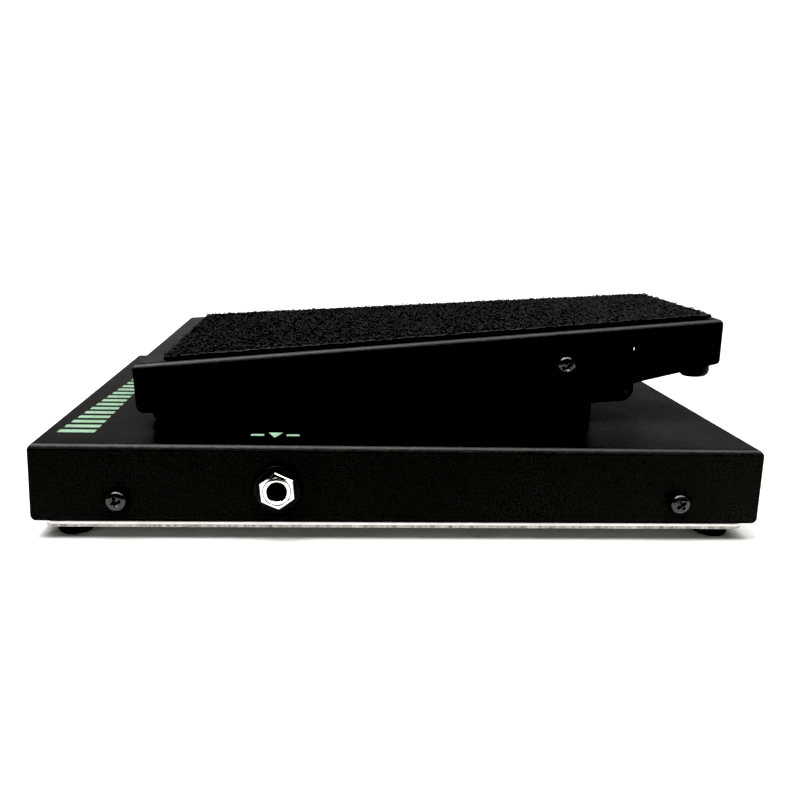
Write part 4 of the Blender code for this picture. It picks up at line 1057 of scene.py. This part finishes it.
# ------------------------------------------------------------------------------
# floor, world and lights
# ------------------------------------------------------------------------------
bm = bmesh.new()
bmesh.ops.create_grid(bm, x_segments=8, y_segments=8, size=4.0)
fme = bpy.data.meshes.new("floor")
bm.to_mesh(fme)
bm.free()
floor = bpy.data.objects.new("floor", fme)
bpy.context.scene.collection.objects.link(floor)
fm = bpy.data.materials.new("floor_card")
fm.use_nodes = True
nt = fm.node_tree
bs = nt.nodes["Principled BSDF"]
bs.inputs["Base Color"].default_value = (0.86, 0.855, 0.84, 1)
bs.inputs["Roughness"].default_value = 0.8
bs.inputs["Specular IOR Level"].default_value = 0.1
geo = nt.nodes.new("ShaderNodeNewGeometry")
tr = nt.nodes.new("ShaderNodeBsdfTransparent")
mx = nt.nodes.new("ShaderNodeMixShader")
nt.links.new(geo.outputs["Backfacing"], mx.inputs[0])
nt.links.new(bs.outputs[0], mx.inputs[1])
nt.links.new(tr.outputs[0], mx.inputs[2])
nt.links.new(mx.outputs[0], nt.nodes["Material Output"].inputs["Surface"])
fme.materials.append(fm)

world = bpy.data.worlds.new("studio")
bpy.context.scene.world = world
world.use_nodes = True
wt = world.node_tree
bg = wt.nodes["Background"]
out = wt.nodes["World Output"]
tc = wt.nodes.new("ShaderNodeTexCoord")
sep = wt.nodes.new("ShaderNodeSeparateXYZ")
wt.links.new(tc.outputs["Generated"], sep.inputs[0])
# the room: a pale wall behind the far side, darker towards the near side
far = wt.nodes.new("ShaderNodeMapRange")
far.inputs["From Min"].default_value, far.inputs["From Max"].default_value = -0.15, 0.75
far.inputs["To Min"].default_value, far.inputs["To Max"].default_value = 0.02, 0.42
wt.links.new(sep.outputs["X"], far.inputs["Value"])
# brightest low down, dimmer overhead
low = wt.nodes.new("ShaderNodeMapRange")
low.inputs["From Min"].default_value, low.inputs["From Max"].default_value = 0.14, 0.26
low.inputs["To Min"].default_value, low.inputs["To Max"].default_value = 1.15, 0.30
wt.links.new(sep.outputs["Z"], low.inputs["Value"])
room = wt.nodes.new("ShaderNodeMath")
room.operation = "MULTIPLY"
wt.links.new(far.outputs["Result"], room.inputs[0])
wt.links.new(low.outputs["Result"], room.inputs[1])
wt.links.new(room.outputs[0], bg.inputs["Strength"])
bg.inputs["Color"].default_value = (1.0, 0.985, 0.955, 1)
white = wt.nodes.new("ShaderNodeBackground")
white.inputs["Color"].default_value = (1, 1, 1, 1)
white.inputs["Strength"].default_value = 1.1
lp = wt.nodes.new("ShaderNodeLightPath")
wm = wt.nodes.new("ShaderNodeMixShader")
wt.links.new(lp.outputs["Is Camera Ray"], wm.inputs[0])
wt.links.new(bg.outputs[0], wm.inputs[1])
wt.links.new(white.outputs[0], wm.inputs[2])
wt.links.new(wm.outputs[0], out.inputs["Surface"])


def area(name, at, target, size, power, colour=(1, 1, 1), size_y=None):
    d = bpy.data.lights.new(name, "AREA")
    d.shape = "RECTANGLE"
    d.size, d.size_y = size, size_y or size
    d.energy = power
    d.color = colour
    o = bpy.data.objects.new(name, d)
    bpy.context.scene.collection.objects.link(o)
    o.location = at
    o.rotation_mode = "QUATERNION"
    o.rotation_quaternion = (Vector(at) - Vector(target)).to_track_quat("Z", "Y")
    return o


# a long soft source overhead, made of three broad suns in a row along the pedal
for k, (tilt, power) in enumerate(((28, 1.7), (1, 2.1), (-22, 3.4))):
    sun = bpy.data.lights.new("soft_overhead_%d" % k, "SUN")
    sun.energy, sun.angle = power, math.radians(38)
    sun.color = (1.0, 0.995, 0.985)
    sun_ob = bpy.data.objects.new("soft_overhead_%d" % k, sun)
    bpy.context.scene.collection.objects.link(sun_ob)
    sun_ob.rotation_mode = "QUATERNION"
    way = Vector((-0.07, -math.tan(math.radians(tilt)), 1.0))
    sun_ob.rotation_quaternion = way.to_track_quat("Z", "Y")
area("fill_wide", (-0.3, 0.2, 2.4), (0, 0, 0), 2.6, 5, (1.0, 1.0, 1.0))
area("under_fill", (0.0, 0.0, -0.7), (0, 0, 0), 0.9, 0.2)
